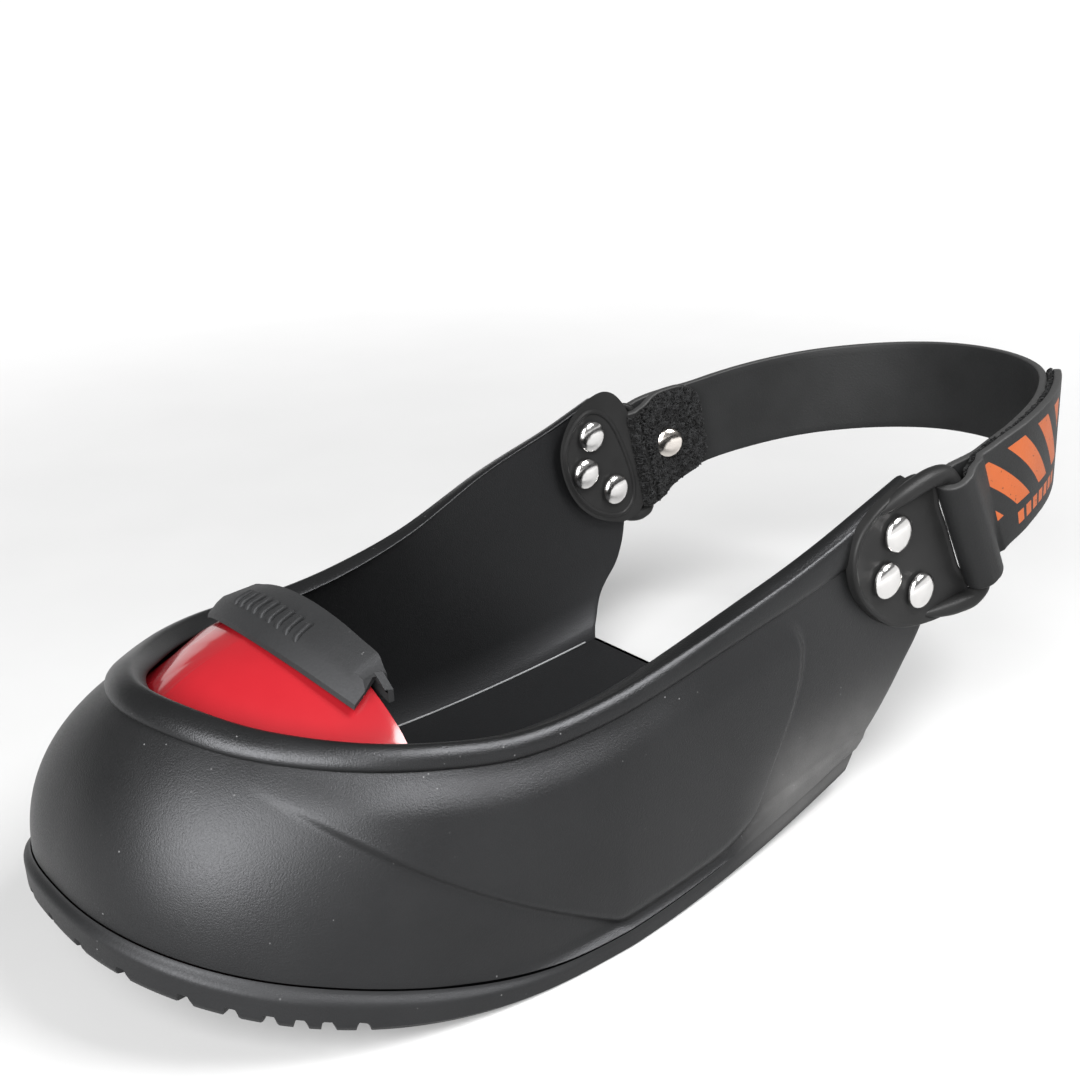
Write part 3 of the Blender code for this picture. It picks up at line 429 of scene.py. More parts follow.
def half_outline():
    """x = 97.4 (1 - cos^p), y = 60 sin^p round the toe, then sides that narrow by share^1.27."""
    angle = np.linspace(0.0, np.pi / 2, 1501)
    power = 2.0 / TOE_ROUNDNESS
    share = np.linspace(0.0, 1.0, 801)[1:]
    x = np.concatenate([BALL_X * (1.0 - np.cos(angle) ** power), BALL_X + share * (SOLE_LENGTH - BALL_X)])
    narrowing = (BALL_HALF_WIDTH - REAR_HALF_WIDTH) * share ** REAR_TAPER
    y = np.concatenate([BALL_HALF_WIDTH * np.sin(angle) ** power, BALL_HALF_WIDTH - narrowing])
    run = travel(np.stack([x, y], -1))
    run /= run[-1]
    along = unit(np.stack([np.gradient(x, run), np.gradient(y, run)], -1))
    along[0] = (0.0, 1.0)
    return run, x, y, -along[:, 1], along[:, 0]


OUTLINE = half_outline()


def outline(around, inset=0.0):
    """Outline at a signed share of the way round, moved inwards along its normal."""
    run, x, y, normal_x, normal_y = OUTLINE
    side = np.abs(around)
    px = np.interp(side, run, x) - inset * np.interp(side, run, normal_x)
    py = np.interp(side, run, y) - inset * np.interp(side, run, normal_y)
    return px, py * np.sign(around)


def edge_z(x):
    """Lower edge of the bead: a parabola of toe spring in front, a slight rise behind the ball."""
    spring = TOE_SPRING * np.clip(1.0 - x / SPRING_END_X, 0.0, 1.0) ** 2
    rise = REAR_RISE * np.clip((x - BALL_X) / (SOLE_LENGTH - BALL_X), 0.0, 1.0) ** 2
    return spring + rise


def tread_z(x, inwards):
    """Tread height: the bead's edge outside, eased to the flat middle."""
    middle = TOE_SPRING * np.clip(1.0 - x / TREAD_FLAT_X, 0.0, 1.0) ** 2
    return middle + (edge_z(x) - middle) * (1.0 - smooth(*TREAD_SLOPE, inwards))


def bead_height(x):
    """Bead height: tall at the toe, low at the sides, a little taller at the rear."""
    toe = (BEAD_TOE_HEIGHT - BEAD_SIDE_HEIGHT) * (1.0 - smooth(*BEAD_FADE_TOE, x))
    rear = (BEAD_REAR_HEIGHT - BEAD_SIDE_HEIGHT) * smooth(*BEAD_FADE_REAR, x)
    return BEAD_SIDE_HEIGHT + toe + rear


def floor_z(x):
    """Top face of the sole."""
    return edge_z(x) + bead_height(x)


print("half outline, mm:", round(float(travel(np.stack(OUTLINE[1:3], -1))[-1]), 1))

# %% Sole mesh
TOE_NOTCHES = (0.0, 0.054, 0.1115, 0.1735, 0.2145, 0.2475, 0.274, 0.298, 0.3295)
SIDE_NOTCHES = np.arange(0.365, 0.99, 0.041)
NOTCHES = np.concatenate([TOE_NOTCHES, SIDE_NOTCHES])
NOTCH_HALF_WIDTH = (0.0042, 0.0068)
LUG_DEPTH = 1.7
LUG_EDGE_FADE = (0.325, 0.36)
BEAD_TOP_ROUND = 1.7
BEAD_REAR_ROUND = 0.15
BEAD_FLUSH = (0.38, 0.62)
TREAD_BANDS = ((-1.0, 0.20), (0.28, 0.62))
BAND_RAMP = 0.008
RAMP_ROWS = BAND_RAMP * np.array([-1.2, -0.4, 0.4, 1.2])
TREAD_ROWS = (0.025, 0.06, 0.1, 0.15, 0.36, 0.45, 0.54, 0.75, 0.88, 1.0)
BEAD_ROWS = 19
BEAD_FOOT_ROUND, BEAD_FOOT = 0.55, (0.12, 0.0)
BEAD_TOP, BEAD_TOP_POWER = (0.62, 1.0), 1.3
LUG_FADE_UP = (0.0, 0.30)
FLOOR_ROWS = np.concatenate([np.linspace(0.04, 0.30, 14), np.linspace(0.36, 1.0, 9)])
REAR_CORNER = 0.94
SOLE_LINES = 1161
REAR_LEAN = 3.6
DUST_AND_SHEEN_FROM_X = (128.0, 156.0)
REAR_LEAN_FROM = 164.0
SOLE_DUST_AND_SHEEN = 0.7


def lug_level(around):
    """1 on a lug, 0 in a notch: an ease of the distance to the nearest notch, the same on both sides."""
    distance = np.min(np.abs(np.abs(around)[..., None] - NOTCHES), axis=-1)
    return smooth(*NOTCH_HALF_WIDTH, distance)


def band_level(inwards):
    """1 on the two bands of lugs that run round the tread."""
    return sum(smooth(low - BAND_RAMP, low + BAND_RAMP, inwards)
               * (1.0 - smooth(high - BAND_RAMP, high + BAND_RAMP, inwards)) for low, high in TREAD_BANDS)


def sole_grid():
    """Section rows for each line round the outline: tread from the middle out, bead up, floor back in."""
    around = np.linspace(-1.0, 1.0, SOLE_LINES)[:, None]
    edge_x, edge_y = outline(around)
    spine_x = np.maximum(edge_x, SPINE_X)

    ramps = [limit + RAMP_ROWS for limit in np.ravel(TREAD_BANDS)[1:]]
    inwards = np.sort(np.concatenate([*ramps, TREAD_ROWS]))[None, ::-1]
    x = edge_x + (spine_x - edge_x) * inwards
    cut = LUG_DEPTH * (1.0 - lug_level(around) * band_level(inwards))
    tread = np.stack([x, edge_y * (1.0 - inwards), tread_z(x, inwards) + cut], -1)

    turn = np.linspace(0.0, 1.0, BEAD_ROWS)[None]
    top_round = BEAD_TOP_ROUND + (BEAD_REAR_ROUND - BEAD_TOP_ROUND) * smooth(*BEAD_FLUSH, np.abs(around))
    inset = BEAD_FOOT_ROUND * smooth(*BEAD_FOOT, turn) + top_round * smooth(*BEAD_TOP, turn) ** BEAD_TOP_POWER
    x, y = outline(around, inset)
    depth = LUG_DEPTH * (1.0 - smooth(*LUG_EDGE_FADE, np.abs(around)))
    lift = depth * (1.0 - lug_level(around)) * (1.0 - smooth(*LUG_FADE_UP, turn))
    bead = np.stack([x, y, edge_z(x) + turn * bead_height(x) + lift], -1)

    inwards = FLOOR_ROWS[None]
    x = edge_x + (spine_x - edge_x) * inwards
    top = np.stack([x, edge_y * (1.0 - inwards), floor_z(x) - FLOOR_DISH], -1)
    grid = np.concatenate([tread, bead, top], 1)
    height = np.clip((grid[..., 2] - edge_z(grid[..., 0])) / bead_height(grid[..., 0]), 0.0, 1.0)
    grid[..., 0] += REAR_LEAN * height * smooth(REAR_LEAN_FROM, SOLE_LENGTH, grid[..., 0])
    dust_and_sheen_band = np.zeros(grid.shape[:2])
    side = slice(tread.shape[1], tread.shape[1] + bead.shape[1])
    # The rear of the bead gets the same pale band: partly dust, partly a painted reflection of the white
    # floor.
    dust_and_sheen_band[:, side] = SOLE_DUST_AND_SHEEN * smooth(0.1, 0.4, height[:, side]) * smooth(*DUST_AND_SHEEN_FROM_X, grid[:, side, 0])
    # Floor rows are marked inside, for painted shade inside the shoe.
    inside = np.zeros(grid.shape[:2])
    inside[:, side.stop:] = 1.0
    return grid, dust_and_sheen_band, inside


grid, dust_and_sheen_band, inside = sole_grid()
ends = []
for line in (grid[0], grid[-1]):
    low = np.stack([line[:, 0], line[:, 1], np.minimum(line[:, 2], line[-1, 2])], -1)
    ends.append((np.stack([line, low * (1.0, REAR_CORNER, 1.0), low * (1.0, 0.0, 1.0)]), False))
dust_and_sheen_band, inside = [np.concatenate([mark.ravel()] + [mark[0]] * 3 + [mark[-1]] * 3)
                  for mark in (dust_and_sheen_band, inside)]
piece("sole", [(grid, False), *ends], sole_finish, "outsole_rubber", ["outsole"], 32.0,
      dust=dust_and_sheen_band, inside=inside)

# %% [markdown]
# ## Upper
# The upper is one thick rubber wall that starts on the sole, leans in over the toe and stands up to two
# ears at the rear. It ends in a rolled bead at the collar and carries a low raised panel on each side.
# At each share of the way round, its section is a quadratic curve from the foot to the collar. Bead and
# panel are added along the wall's normal, so they keep the same height wherever the wall turns.

# %% Upper wall functions
WALL = 3.2
FOOT_INSET = 2.0
FOOT_FILLET = 2.6
FOOT_FILLET_RISE = 0.14
COLLAR_OUT = 1.6
CREST_LIFT = 1.485
CREST_DROP = 0.3
REAR_FOOT_INSET = 0.5
FOOT_INSET_FADE = (0.6, 1.0)
RIM_BAND = 0.13
RIM_PROUD = 1.7
RIM_FADE_X = (70.0, 180.0)
RIM_NARROWING = 0.05
RIM_LOWERING = 0.35
EAR_FACE = 55.6
EAR_FROM_X = (118.0, 168.0)
EAR_FROM_Z = (6.0, 46.0)
WING_FROM = 0.62
FAR_COLLAR_DROP = 1.7
FAR_DROP_FROM = (0.80, 0.95)
REAR_EDGE_COLUMNS = ("z", "near", "far")
REAR_EDGE = (
    (6.0, 178.0, 178.0),
    (11.0, 180.0, 179.4),
    (14.0, 181.4, 181.6),
    (18.5, 183.5, 184.8),
    (22.0, 185.0, 188.2),
    (26.0, 186.9, 192.6),
    (32.0, 190.2, 196.2),
    (38.0, 194.5, 197.8),
    (44.0, 198.0, 198.6),
    (52.0, 200.0, 198.6),
    (60.0, 199.2, 197.2),
    (68.0, 195.6, 194.6),
    (74.0, 191.8, 190.8),
    (80.0, 186.0, 184.5),
)
COLLAR_COLUMNS = ("around", "x", "y", "z")
COLLAR = (
    (0.00, 27.5, 0.0, 65.0),
    (0.10, 31.0, 12.5, 63.6),
    (0.20, 38.5, 23.5, 60.6),
    (0.30, 50.0, 34.6, 58.0),
    (0.40, 63.0, 42.0, 55.8),
    (0.50, 80.0, 46.4, 53.3),
    (0.60, 98.0, 48.4, 53.9),
    (0.70, 119.0, 49.8, 57.5),
    (0.80, 143.0, 51.2, 64.3),
    (0.90, 167.0, 52.4, 71.6),
    (1.00, 190.0, 53.0, 79.0),
)
SECTION_COLUMNS = ("around", "lean_x", "lean_y", "lean_z")
SECTION = (
    (0.00, 0.02, 0.02, 0.65),
    (0.30, 0.02, 0.02, 0.68),
    (0.50, 0.00, 0.00, 0.66),
    (0.70, 0.00, 0.10, 0.60),
    (0.85, 0.00, 0.60, 0.55),
    (1.00, 0.00, 1.60, 0.50),
)
COLLAR_LINE = named(COLLAR, COLLAR_COLUMNS)
SECTION_LEAN = named(SECTION, SECTION_COLUMNS)


def collar(around, out):
    """Collar line through its table, moved outwards in plan along its normal."""
    def plan(share):
        x, y = mirrored(COLLAR_LINE, "x"), mirrored(COLLAR_LINE, "y", -1.0)
        return through(share, *x), through(share, *y)

    step = 1e-3
    x, y = plan(around)
    ahead_x, ahead_y = plan(np.clip(around + step, -1.0, 1.0))
    behind_x, behind_y = plan(np.clip(around - step, -1.0, 1.0))
    run_x, run_y = ahead_x - behind_x, ahead_y - behind_y
    length = np.hypot(run_x, run_y)
    z = through(around, *mirrored(COLLAR_LINE, "z")) - FAR_COLLAR_DROP * smooth(*FAR_DROP_FROM, around)
    return x - out * run_y / length, y + out * run_x / length, z


def rear_edge(z, around):
    """Rear edge of the wing at a height; the two wings are bent a little differently."""
    edge = named(REAR_EDGE, REAR_EDGE_COLUMNS)
    z = np.clip(z, edge["z"][0], edge["z"][-1])
    return np.where(around < 0.0, through(z, edge["z"], edge["near"]), through(z, edge["z"], edge["far"]))


def bent_line(around, up):
    """Quadratic curve (1-u)^2 foot + 2u(1-u) control + u^2 collar at each share of the way round."""
    side = np.abs(around)
    inset = FOOT_INSET - (FOOT_INSET - REAR_FOOT_INSET) * smooth(*FOOT_INSET_FADE, side)
    foot_x, foot_y = outline(around, inset)
    foot = (foot_x, foot_y, floor_z(foot_x) + SEAT)
    top_x, top_y, top_z = collar(around, COLLAR_OUT)
    top = (top_x, top_y, top_z - CREST_DROP)
    lean = [through(side, SECTION_LEAN["around"], SECTION_LEAN[name]) for name in SECTION_COLUMNS[1:]]
    return [(1.0 - up) ** 2 * low + 2.0 * up * (1.0 - up) * (low + (high - low) * share) + up ** 2 * high
            for low, high, share in zip(foot, top, lean)]


def plain_wall(around, up):
    """Bent lines, swept back to the rear edge and pressed flat at the ears."""
    x, y, z = bent_line(around, up)
    last_x, _, last_z = bent_line(np.ones_like(around), up)
    wing = np.clip((np.abs(around) - WING_FROM) / (1.0 - WING_FROM), 0.0, 1.0)
    x = x + (rear_edge(last_z, around) - last_x) * wing ** 2
    ear = smooth(*EAR_FROM_X, x) * smooth(*EAR_FROM_Z, z)
    y = y + (np.sign(around) * EAR_FACE - y) * ear
    return np.stack([x, y, z], -1)


def wall_normal(around, up):
    """Outward direction: the upward step crossed with the step round the shoe."""
    step = 2e-3
    across = plain_wall(np.clip(around + step, -1, 1), up) - plain_wall(np.clip(around - step, -1, 1), up)
    upward = plain_wall(around, np.clip(up + step, 0, 1)) - plain_wall(around, np.clip(up - step, 0, 1))
    return unit(np.cross(upward, across))


def inner_wall(around, up, extra=0.0):
    """Inner face: the plain wall moved in by its thickness, filleted and sunk to the floor at the foot."""
    fillet = FOOT_FILLET * np.clip(1.0 - up / FOOT_FILLET_RISE, 0.0, 1.0) ** 2
    sink = FLOOR_DISH * np.clip(1.0 - up / FLOOR_DISH_RISE, 0.0, 1.0)
    inner = plain_wall(around, up) - (WALL + extra + fillet)[..., None] * wall_normal(around, up)
    return inner - sink[..., None] * UP


print("collar at the toe, mm:", np.round(plain_wall(np.zeros(1), np.ones(1))[0], 1))

# %% Side panel and rolled collar
PANEL_PROUD = 1.7
PANEL_EDGE = 1.8
ARC_EDGE = 3.4
PANEL_LINE_START = (26.6, 56.0)
PANEL_LINE_FALL = 0.726
PANEL_LINE_SAG = 3.0
PANEL_LINE_RUN = 67.0
PANEL_START_X = (28.0, 50.0)
PANEL_ARC_Z = (0.0, 4.6, 6.2, 10.0, 15.6, 21.7, 27.9, 33.8,
               40.5, 45.9, 50.9, 55.6, 58.4, 60.4, 62.0, 80.0)
PANEL_ARC_X = (120.0, 130.1, 133.8, 138.8, 143.3, 146.8, 150.0, 152.6,
               154.6, 155.4, 155.0, 152.4, 148.8, 143.6, 136.0, 40.0)
SKIRT_RISE = 4.2
SKIRT_RISE_X = (126.0, 148.0)
SKIRT_FALL = 1.1
SKIRT_FALL_X = (150.0, 180.0)
SKIRT_FADE = (0.42, 0.62)
SKIRT_STEP = 1.6
SKIRT_CLEAR = 5.0
RIM_CLEAR = 2.6
DUST_AND_SHEEN_REACH = 13.0


def panel_relief(point):
    """Height of the raised panel behind its slanting toe line and before its round rear edge."""
    x, z = point[..., 0], point[..., 2]
    start_x, start_z = PANEL_LINE_START
    sag = PANEL_LINE_SAG * np.sin(np.pi * np.clip((x - start_x) / PANEL_LINE_RUN, 0.0, 1.0))
    behind = z - (start_z - PANEL_LINE_FALL * (x - start_x) - sag)
    before = through(z, PANEL_ARC_Z, PANEL_ARC_X) - x
    begun = smooth(*PANEL_START_X, x)
    return PANEL_PROUD * smooth(0.0, PANEL_EDGE, behind) * smooth(0.0, ARC_EDGE, before) * begun


def above_skirt(point):
    """Height above the soft crease that runs over the bead and rises towards the rear."""
    x, z = point[..., 0], point[..., 2]
    rise = SKIRT_RISE * smooth(*SKIRT_RISE_X, x) - SKIRT_FALL * smooth(*SKIRT_FALL_X, x)
    return z - floor_z(x) - rise


def skirt(around, point):
    """Foot of the rear wall, pushed out until it is flush with the bead, ended by the crease."""
    side = np.abs(around)
    inset = FOOT_INSET - (FOOT_INSET - REAR_FOOT_INSET) * smooth(*FOOT_INSET_FADE, side)
    return inset * smooth(*SKIRT_FADE, side) * (1.0 - smooth(0.0, SKIRT_STEP, above_skirt(point)))


def rim_bead(point, up):
    """Half round sqrt(1 - (2s-1)^2) over the top band of the wall, lower and narrower to the ears."""
    rear = smooth(*RIM_FADE_X, point[..., 0])
    share = np.clip((1.0 - up) / (RIM_BAND * (1.0 - RIM_NARROWING * rear)), 0.0, 1.0)
    bead = np.sqrt(np.clip(1.0 - (2.0 * share - 1.0) ** 2, 0.0, 1.0))
    return RIM_PROUD * bead * (1.0 - RIM_LOWERING * rear)


def outer_wall(around, up):
    """Finished outer face: the plain wall with panel and rim added along its normal."""
    point = plain_wall(around, up)
    below_rim = 1.0 - smooth(1.0 - RIM_CLEAR * RIM_BAND, 1.0 - RIM_BAND, up)
    clear = below_rim * smooth(0.0, SKIRT_CLEAR, above_skirt(point))
    proud = rim_bead(point, up) + panel_relief(point) * clear + skirt(around, point)
    return point + proud[..., None] * wall_normal(around, up)


# %% Upper mesh
AROUND_LINES = 541
ARC_LINES_SHARE = 1.6
ARC_LINES_FROM, ARC_LINES_TO = (0.66, 0.72), (0.87, 0.93)
WALL_ROWS = np.linspace(0.0, 0.84, 62)
RIM_ROWS = 1.0 - RIM_BAND * (0.5 + 0.5 * np.cos(np.linspace(0, np.pi, 17)))
WALL_RISES = np.concatenate([WALL_ROWS, RIM_ROWS])
CREST_POINTS = 9
RIM_SHINE = (1.0 - 1.1 * RIM_BAND, 1.0 - 0.9 * RIM_BAND)


def wall_lines():
    """Shares of the way round, set closer where the arcs of the panels lie."""
    share = np.linspace(-1.0, 1.0, 2001)
    side = np.abs(share)
    at_arc = smooth(*ARC_LINES_FROM, side) * (1.0 - smooth(*ARC_LINES_TO, side))
    count = np.cumsum(1.0 + ARC_LINES_SHARE * at_arc)
    return np.interp(np.linspace(count[0], count[-1], AROUND_LINES), count, share)


def upper_ring():
    """Closed section on each line round the shoe: outer face up, round crest, inner face down."""
    around = wall_lines()[:, None]
    around, up = np.broadcast_arrays(around, WALL_RISES[None])
    outer, inner = outer_wall(around, up), inner_wall(around, up)
    middle = 0.5 * (outer[:, -1:] + inner[:, -1:])
    lift = CREST_LIFT * unit(outer[:, -1:] - outer[:, -3:-2])
    turn = np.linspace(0.0, np.pi, CREST_POINTS + 2)[1:-1, None]
    crest = middle + (outer[:, -1:] - middle) * np.cos(turn) + lift * np.sin(turn)
    ring = np.concatenate([outer, crest, inner[:, ::-1]], 1)
    ring[:, -1, 2] = ring[:, 0, 2] - FLOOR_DISH
    return drawn_in(ring, 1.0)


def dust(ring):
    """1 just above the rear crease of the outer side, fading upwards: partly dust, partly a painted
    reflection of the white floor.
    """
    height = above_skirt(ring)
    outer_side = np.arange(ring.shape[1]) < len(WALL_RISES)
    return np.exp(-(height / DUST_AND_SHEEN_REACH) ** 2) * smooth(*DUST_AND_SHEEN_FROM_X, ring[..., 0]) * outer_side


ring = upper_ring()
column = np.arange(ring.shape[1])
# Inner face marked for painted shade inside the shoe.
inside_shade = smooth(len(WALL_RISES) + 2.0, len(WALL_RISES) + CREST_POINTS, column) * np.ones(ring.shape[:2])
outer_rim = smooth(*RIM_SHINE, WALL_RISES)
rim = np.concatenate([outer_rim, np.ones(CREST_POINTS), np.zeros(len(WALL_RISES))]) * np.ones(ring.shape[:2])
piece("upper_wall", [(ring, True)], upper_finish, "upper_rubber", ["upper"], 60.0,
      inside=inside_shade, dust=dust(ring), rim=rim)

# %% [markdown]
# ## Highlight line at the inner foot
# Where wall and sole meet inside, a thin bright line runs along the fillet. It is a painted highlight: a
# fine cord of pale rubber laid along the inner foot of the wall, since a line that thin would blur if painted
# on.

# %% Painted highlight cord where the wall meets the sole
HIGHLIGHT_CORD_RADIUS = 0.26
HIGHLIGHT_CORD_AROUND = (0.36, 0.985)
HIGHLIGHT_CORD_LINES = 160
HIGHLIGHT_CORD_SIDES = 8
HIGHLIGHT_CORD_END = 0.1


def highlight_cord_line(side):
    """Thin pale cord along the inner foot of the wall: a painted highlight line."""
    around = side * np.linspace(*HIGHLIGHT_CORD_AROUND, HIGHLIGHT_CORD_LINES)
    foot = inner_wall(around, np.zeros_like(around))
    foot[:, 2] = floor_z(foot[:, 0]) - FLOOR_DISH + SEAT
    section = HIGHLIGHT_CORD_RADIUS * circle(HIGHLIGHT_CORD_SIDES)
    return drawn_in(swept(foot, np.broadcast_to(UP, foot.shape), section), HIGHLIGHT_CORD_END)


piece("inside_highlight_cord", [(highlight_cord_line(side), True) for side in (1.0, -1.0)], highlight_cord_finish, "upper_rubber")

# %% [markdown]
# ## Steel toe cap
# Under the collar sits a pressed steel dome, painted red, that stands on the sole and is open to the
# rear. Its skirt follows the inside of the upper at a small clearance, and its crown is a line that rises
# to the rear and arches down to both sides. Two such faces, one sheet apart, are joined round the edge.

# %% Toe cap
CAP_SHEET = 1.8
CAP_CLEARANCE = 1.25
CAP_AROUND = 0.395
CAP_LINES = 181
CAP_SKIRT = np.linspace(0.03, 0.95, 32)
CAP_CROWN_SHARES = np.linspace(0.0, 1.0, 41)[1:]
CAP_CROWN = 69.0
CAP_CROWN_DROP = 6.6
CAP_CROWN_RUN = 32.5
CAP_CROWN_POWER = 1.6
CAP_ARCH_POWER = 2.1
CAP_UNDER_COLLAR = 2.4
CAP_REAR_X = 60.0
CAP_POLE_X = 46.0
CAP_POLE_SHIFT = (0.6, 1.0)
CAP_REAR_BOW = 4.0
CAP_SMOOTHING = 30
CAP_HALF_WIDTH = 42.0


def crown_z(x, y):
    """Crown line 69 - 6.6 f^1.6 along the middle, lowered by |y / half|^2.1 to the collar's height."""
    half = np.maximum(np.interp(x, COLLAR_LINE["x"], COLLAR_LINE["y"]), 1.0)
    edge = np.interp(x, COLLAR_LINE["x"], COLLAR_LINE["z"]) - CAP_UNDER_COLLAR
    forward = np.clip((CAP_REAR_X - x) / CAP_CROWN_RUN, 0.0, 1.0)
    crown = CAP_CROWN - CAP_CROWN_DROP * forward ** CAP_CROWN_POWER
    return crown - (crown - edge) * np.clip(np.abs(y) / half, 0.0, 1.0) ** CAP_ARCH_POWER


def cap_face(depth):
    """Skirt rows up the wall, then crown rows that run straight in plan to the middle line."""
    around = np.linspace(-CAP_AROUND, CAP_AROUND, CAP_LINES)[:, None]
    skirt = inner_wall(*np.broadcast_arrays(around, CAP_SKIRT[None]), extra=CAP_CLEARANCE + depth)
    skirt[:, 0, 2] = floor_z(skirt[:, 0, 0]) - FLOOR_DISH + SEAT
    side_x, side_y, side_z = np.moveaxis(skirt[:, -1:], -1, 0)
    step = side_z - crown_z(side_x, side_y) + depth
    pole_x = CAP_POLE_X + (CAP_REAR_X - CAP_POLE_X) * smooth(*CAP_POLE_SHIFT, np.abs(around) / CAP_AROUND)
    share = CAP_CROWN_SHARES[None]
    x = side_x + (pole_x - side_x) * share
    y = side_y * (1.0 - share)
    crown = np.stack([x, y, crown_z(x, y) - depth + step * (1.0 - share) ** 2], -1)
    face = np.concatenate([skirt, crown], 1)
    for _ in range(CAP_SMOOTHING):
        face[:, 1:-1] = 0.5 * face[:, 1:-1] + 0.25 * (face[:, :-2] + face[:, 2:])
    return face


outside, inside = cap_face(0.0), cap_face(CAP_SHEET)
edges = [(outside[:, 0], inside[:, 0]), (outside[0], inside[0]), (outside[-1], inside[-1])]
shells = [(outside, False), (inside, False)]
shells += [(np.stack(edge), False) for edge in edges]
piece("steel_cap", shells, cap_finish, "cap_paint", ["toe_cap"], 50.0)

# %% [markdown]
# ## Edge strip
# A rubber strip is pushed over the rear edge of the cap so that it doesn't rub the street shoe. It is a
# broad band on top, a lip behind the sheet and a short flange at each end. One profile ring is carried
# across the shoe, and a bevel rounds its corners as the mould did. A slanted row of small ribs is
# raised on top.

# %% Edge strip
STRIP_HALF_WIDTH = 30.2
STRIP_THICKNESS = 3.0
STRIP_SEAT = 0.55
STRIP_DEPTH = 7.5
STRIP_LIP = 2.4
STRIP_LIP_DROP = 4.5
STRIP_FLANGE_LINES = (0.25, 1.6, 3.4)
STRIP_END_THICK = 0.1
STRIP_THICK_FROM = (0.72, 0.92)
STRIP_CHAMFER = 0.8
STRIP_CHAMFER_FROM = (0.92, 1.0)
STRIP_FLANGE_DROP = 2.4
STRIP_END_SLANT = 0.11
STRIP_BOW = 4.5
STRIP_FLANGE = 0.6
STRIP_BEVEL = 0.75
STRIP_BEVEL_FROM_DEG = 30.0
STRIP_LINES = 75
STRIP_SOFT_X, STRIP_SOFT_HIGH = 2.8, 0.86
STRIP_FRONT_X, STRIP_FRONT_HIGH = 0.3, 0.45
STRIP_FLANGE_LIP = 0.55
STRIP_REAR_SLOPE = 0.4


def strip_front(across):
    """Front edge of the strip in plan: behind the cap's crown by its depth and a parabolic bow."""
    rear = CAP_REAR_X + CAP_REAR_BOW * np.clip(np.abs(across) / CAP_HALF_WIDTH, 0.0, 1.0) ** 2
    return rear, rear - STRIP_DEPTH - STRIP_BOW * np.clip(1.0 - (across / STRIP_HALF_WIDTH) ** 2, 0.0, 1.0)


def strip_ring():
    """Profile of nine corners on each line across: band on the crown, lip behind the sheet."""
    half = STRIP_HALF_WIDTH
    flange = half + np.array(STRIP_FLANGE_LINES)
    line = np.concatenate([-flange[::-1], np.linspace(-half, half, STRIP_LINES), flange])
    on_band = (np.abs(line) <= half).astype(float)
    back_y = (1.0 - STRIP_END_SLANT) * line
    front_y = np.where(on_band > 0, line, back_y)
    middle_y = 0.5 * (front_y + back_y)
    rear = strip_front(back_y)[0]
    front = rear + (strip_front(line)[1] - rear) * on_band
    soft, middle, back = front + STRIP_SOFT_X * on_band, 0.5 * (front + rear), rear + 2.0 * SEAT
    lip = back + STRIP_LIP * (STRIP_FLANGE_LIP + (1.0 - STRIP_FLANGE_LIP) * on_band)
    base = crown_z(rear, back_y)
    tip = np.clip((np.abs(line) - half) / STRIP_FLANGE_LINES[-1], 0.0, 1.0)
    high = STRIP_SEAT + STRIP_THICKNESS * np.where(on_band > 0, 1.0, STRIP_FLANGE * (1.0 - tip))
    share = np.abs(line) / half
    swell = STRIP_END_THICK * smooth(*STRIP_THICK_FROM, share)
    swell = swell - STRIP_CHAMFER * smooth(*STRIP_CHAMFER_FROM, share)
    rear_high = high * (1.0 + swell * on_band)
    drop = STRIP_LIP_DROP + (STRIP_FLANGE_DROP - STRIP_LIP_DROP) * (1.0 - on_band)
    profile = (
        (front, front_y, crown_z(front, front_y) + STRIP_SEAT),
        (front + STRIP_FRONT_X * on_band, front_y, crown_z(front, front_y) + STRIP_FRONT_HIGH * high),
        (soft, front_y, crown_z(soft, front_y) + STRIP_SOFT_HIGH * high),
        (middle, middle_y, crown_z(middle, middle_y) + high),
        (lip, back_y, base + rear_high - STRIP_REAR_SLOPE),
        (lip, back_y, base - drop),
        (back, back_y, base - drop),
        (back, back_y, base + STRIP_SEAT),
        (middle, middle_y, crown_z(middle, middle_y) + STRIP_SEAT),
    )
    return np.stack([np.stack(point, -1) for point in profile], 1)


ring = strip_ring()
flat_ends = [(np.stack([line, np.broadcast_to(line.mean(0), line.shape)]), True)
             for line in (ring[0], ring[-1])]
strip = piece("edge_strip", [(ring, True), *flat_ends], strip_finish, "strip_rubber",
              ["toe_cap_edge_strip"], 30.0)
rounding = strip.modifiers.new("moulded edges", "BEVEL")
rounding.width = STRIP_BEVEL * MM
rounding.segments = 3
rounding.limit_method = "ANGLE"
rounding.angle_limit = np.radians(STRIP_BEVEL_FROM_DEG)

# %% Ribs on the strip
RIB_PLACES = np.linspace(-12.0, 12.0, 9)
RIB_REACH = 2.6
RIB_SLANT = 1.0
RIB_BACK = 0.6
RIB_PROUD, RIB_SINK = 0.15, 0.9
RIB_SECTION = bar_section(0.62, 0.55, 0.4, 3, 3)
RIB_END = 0.3


def rib(place):
    """A small rounded bar over the strip's top, slanted across it and sunk at both ends."""
    share = np.linspace(-1.0, 1.0, 15)
    y = place + RIB_SLANT * share
    rear, front = strip_front(y)
    x = 0.5 * (front + rear) + RIB_BACK + RIB_REACH * share
    z = crown_z(x, y) + STRIP_SEAT + STRIP_THICKNESS + RIB_PROUD - RIB_SINK * share ** 8
    return swept(np.stack([x, y, z], -1), SIDEWAYS, RIB_SECTION)


ribs = [(drawn_in(rib(place), RIB_END), True) for place in RIB_PLACES]
piece("strip_ribs", ribs, strip_finish, "strip_rubber")

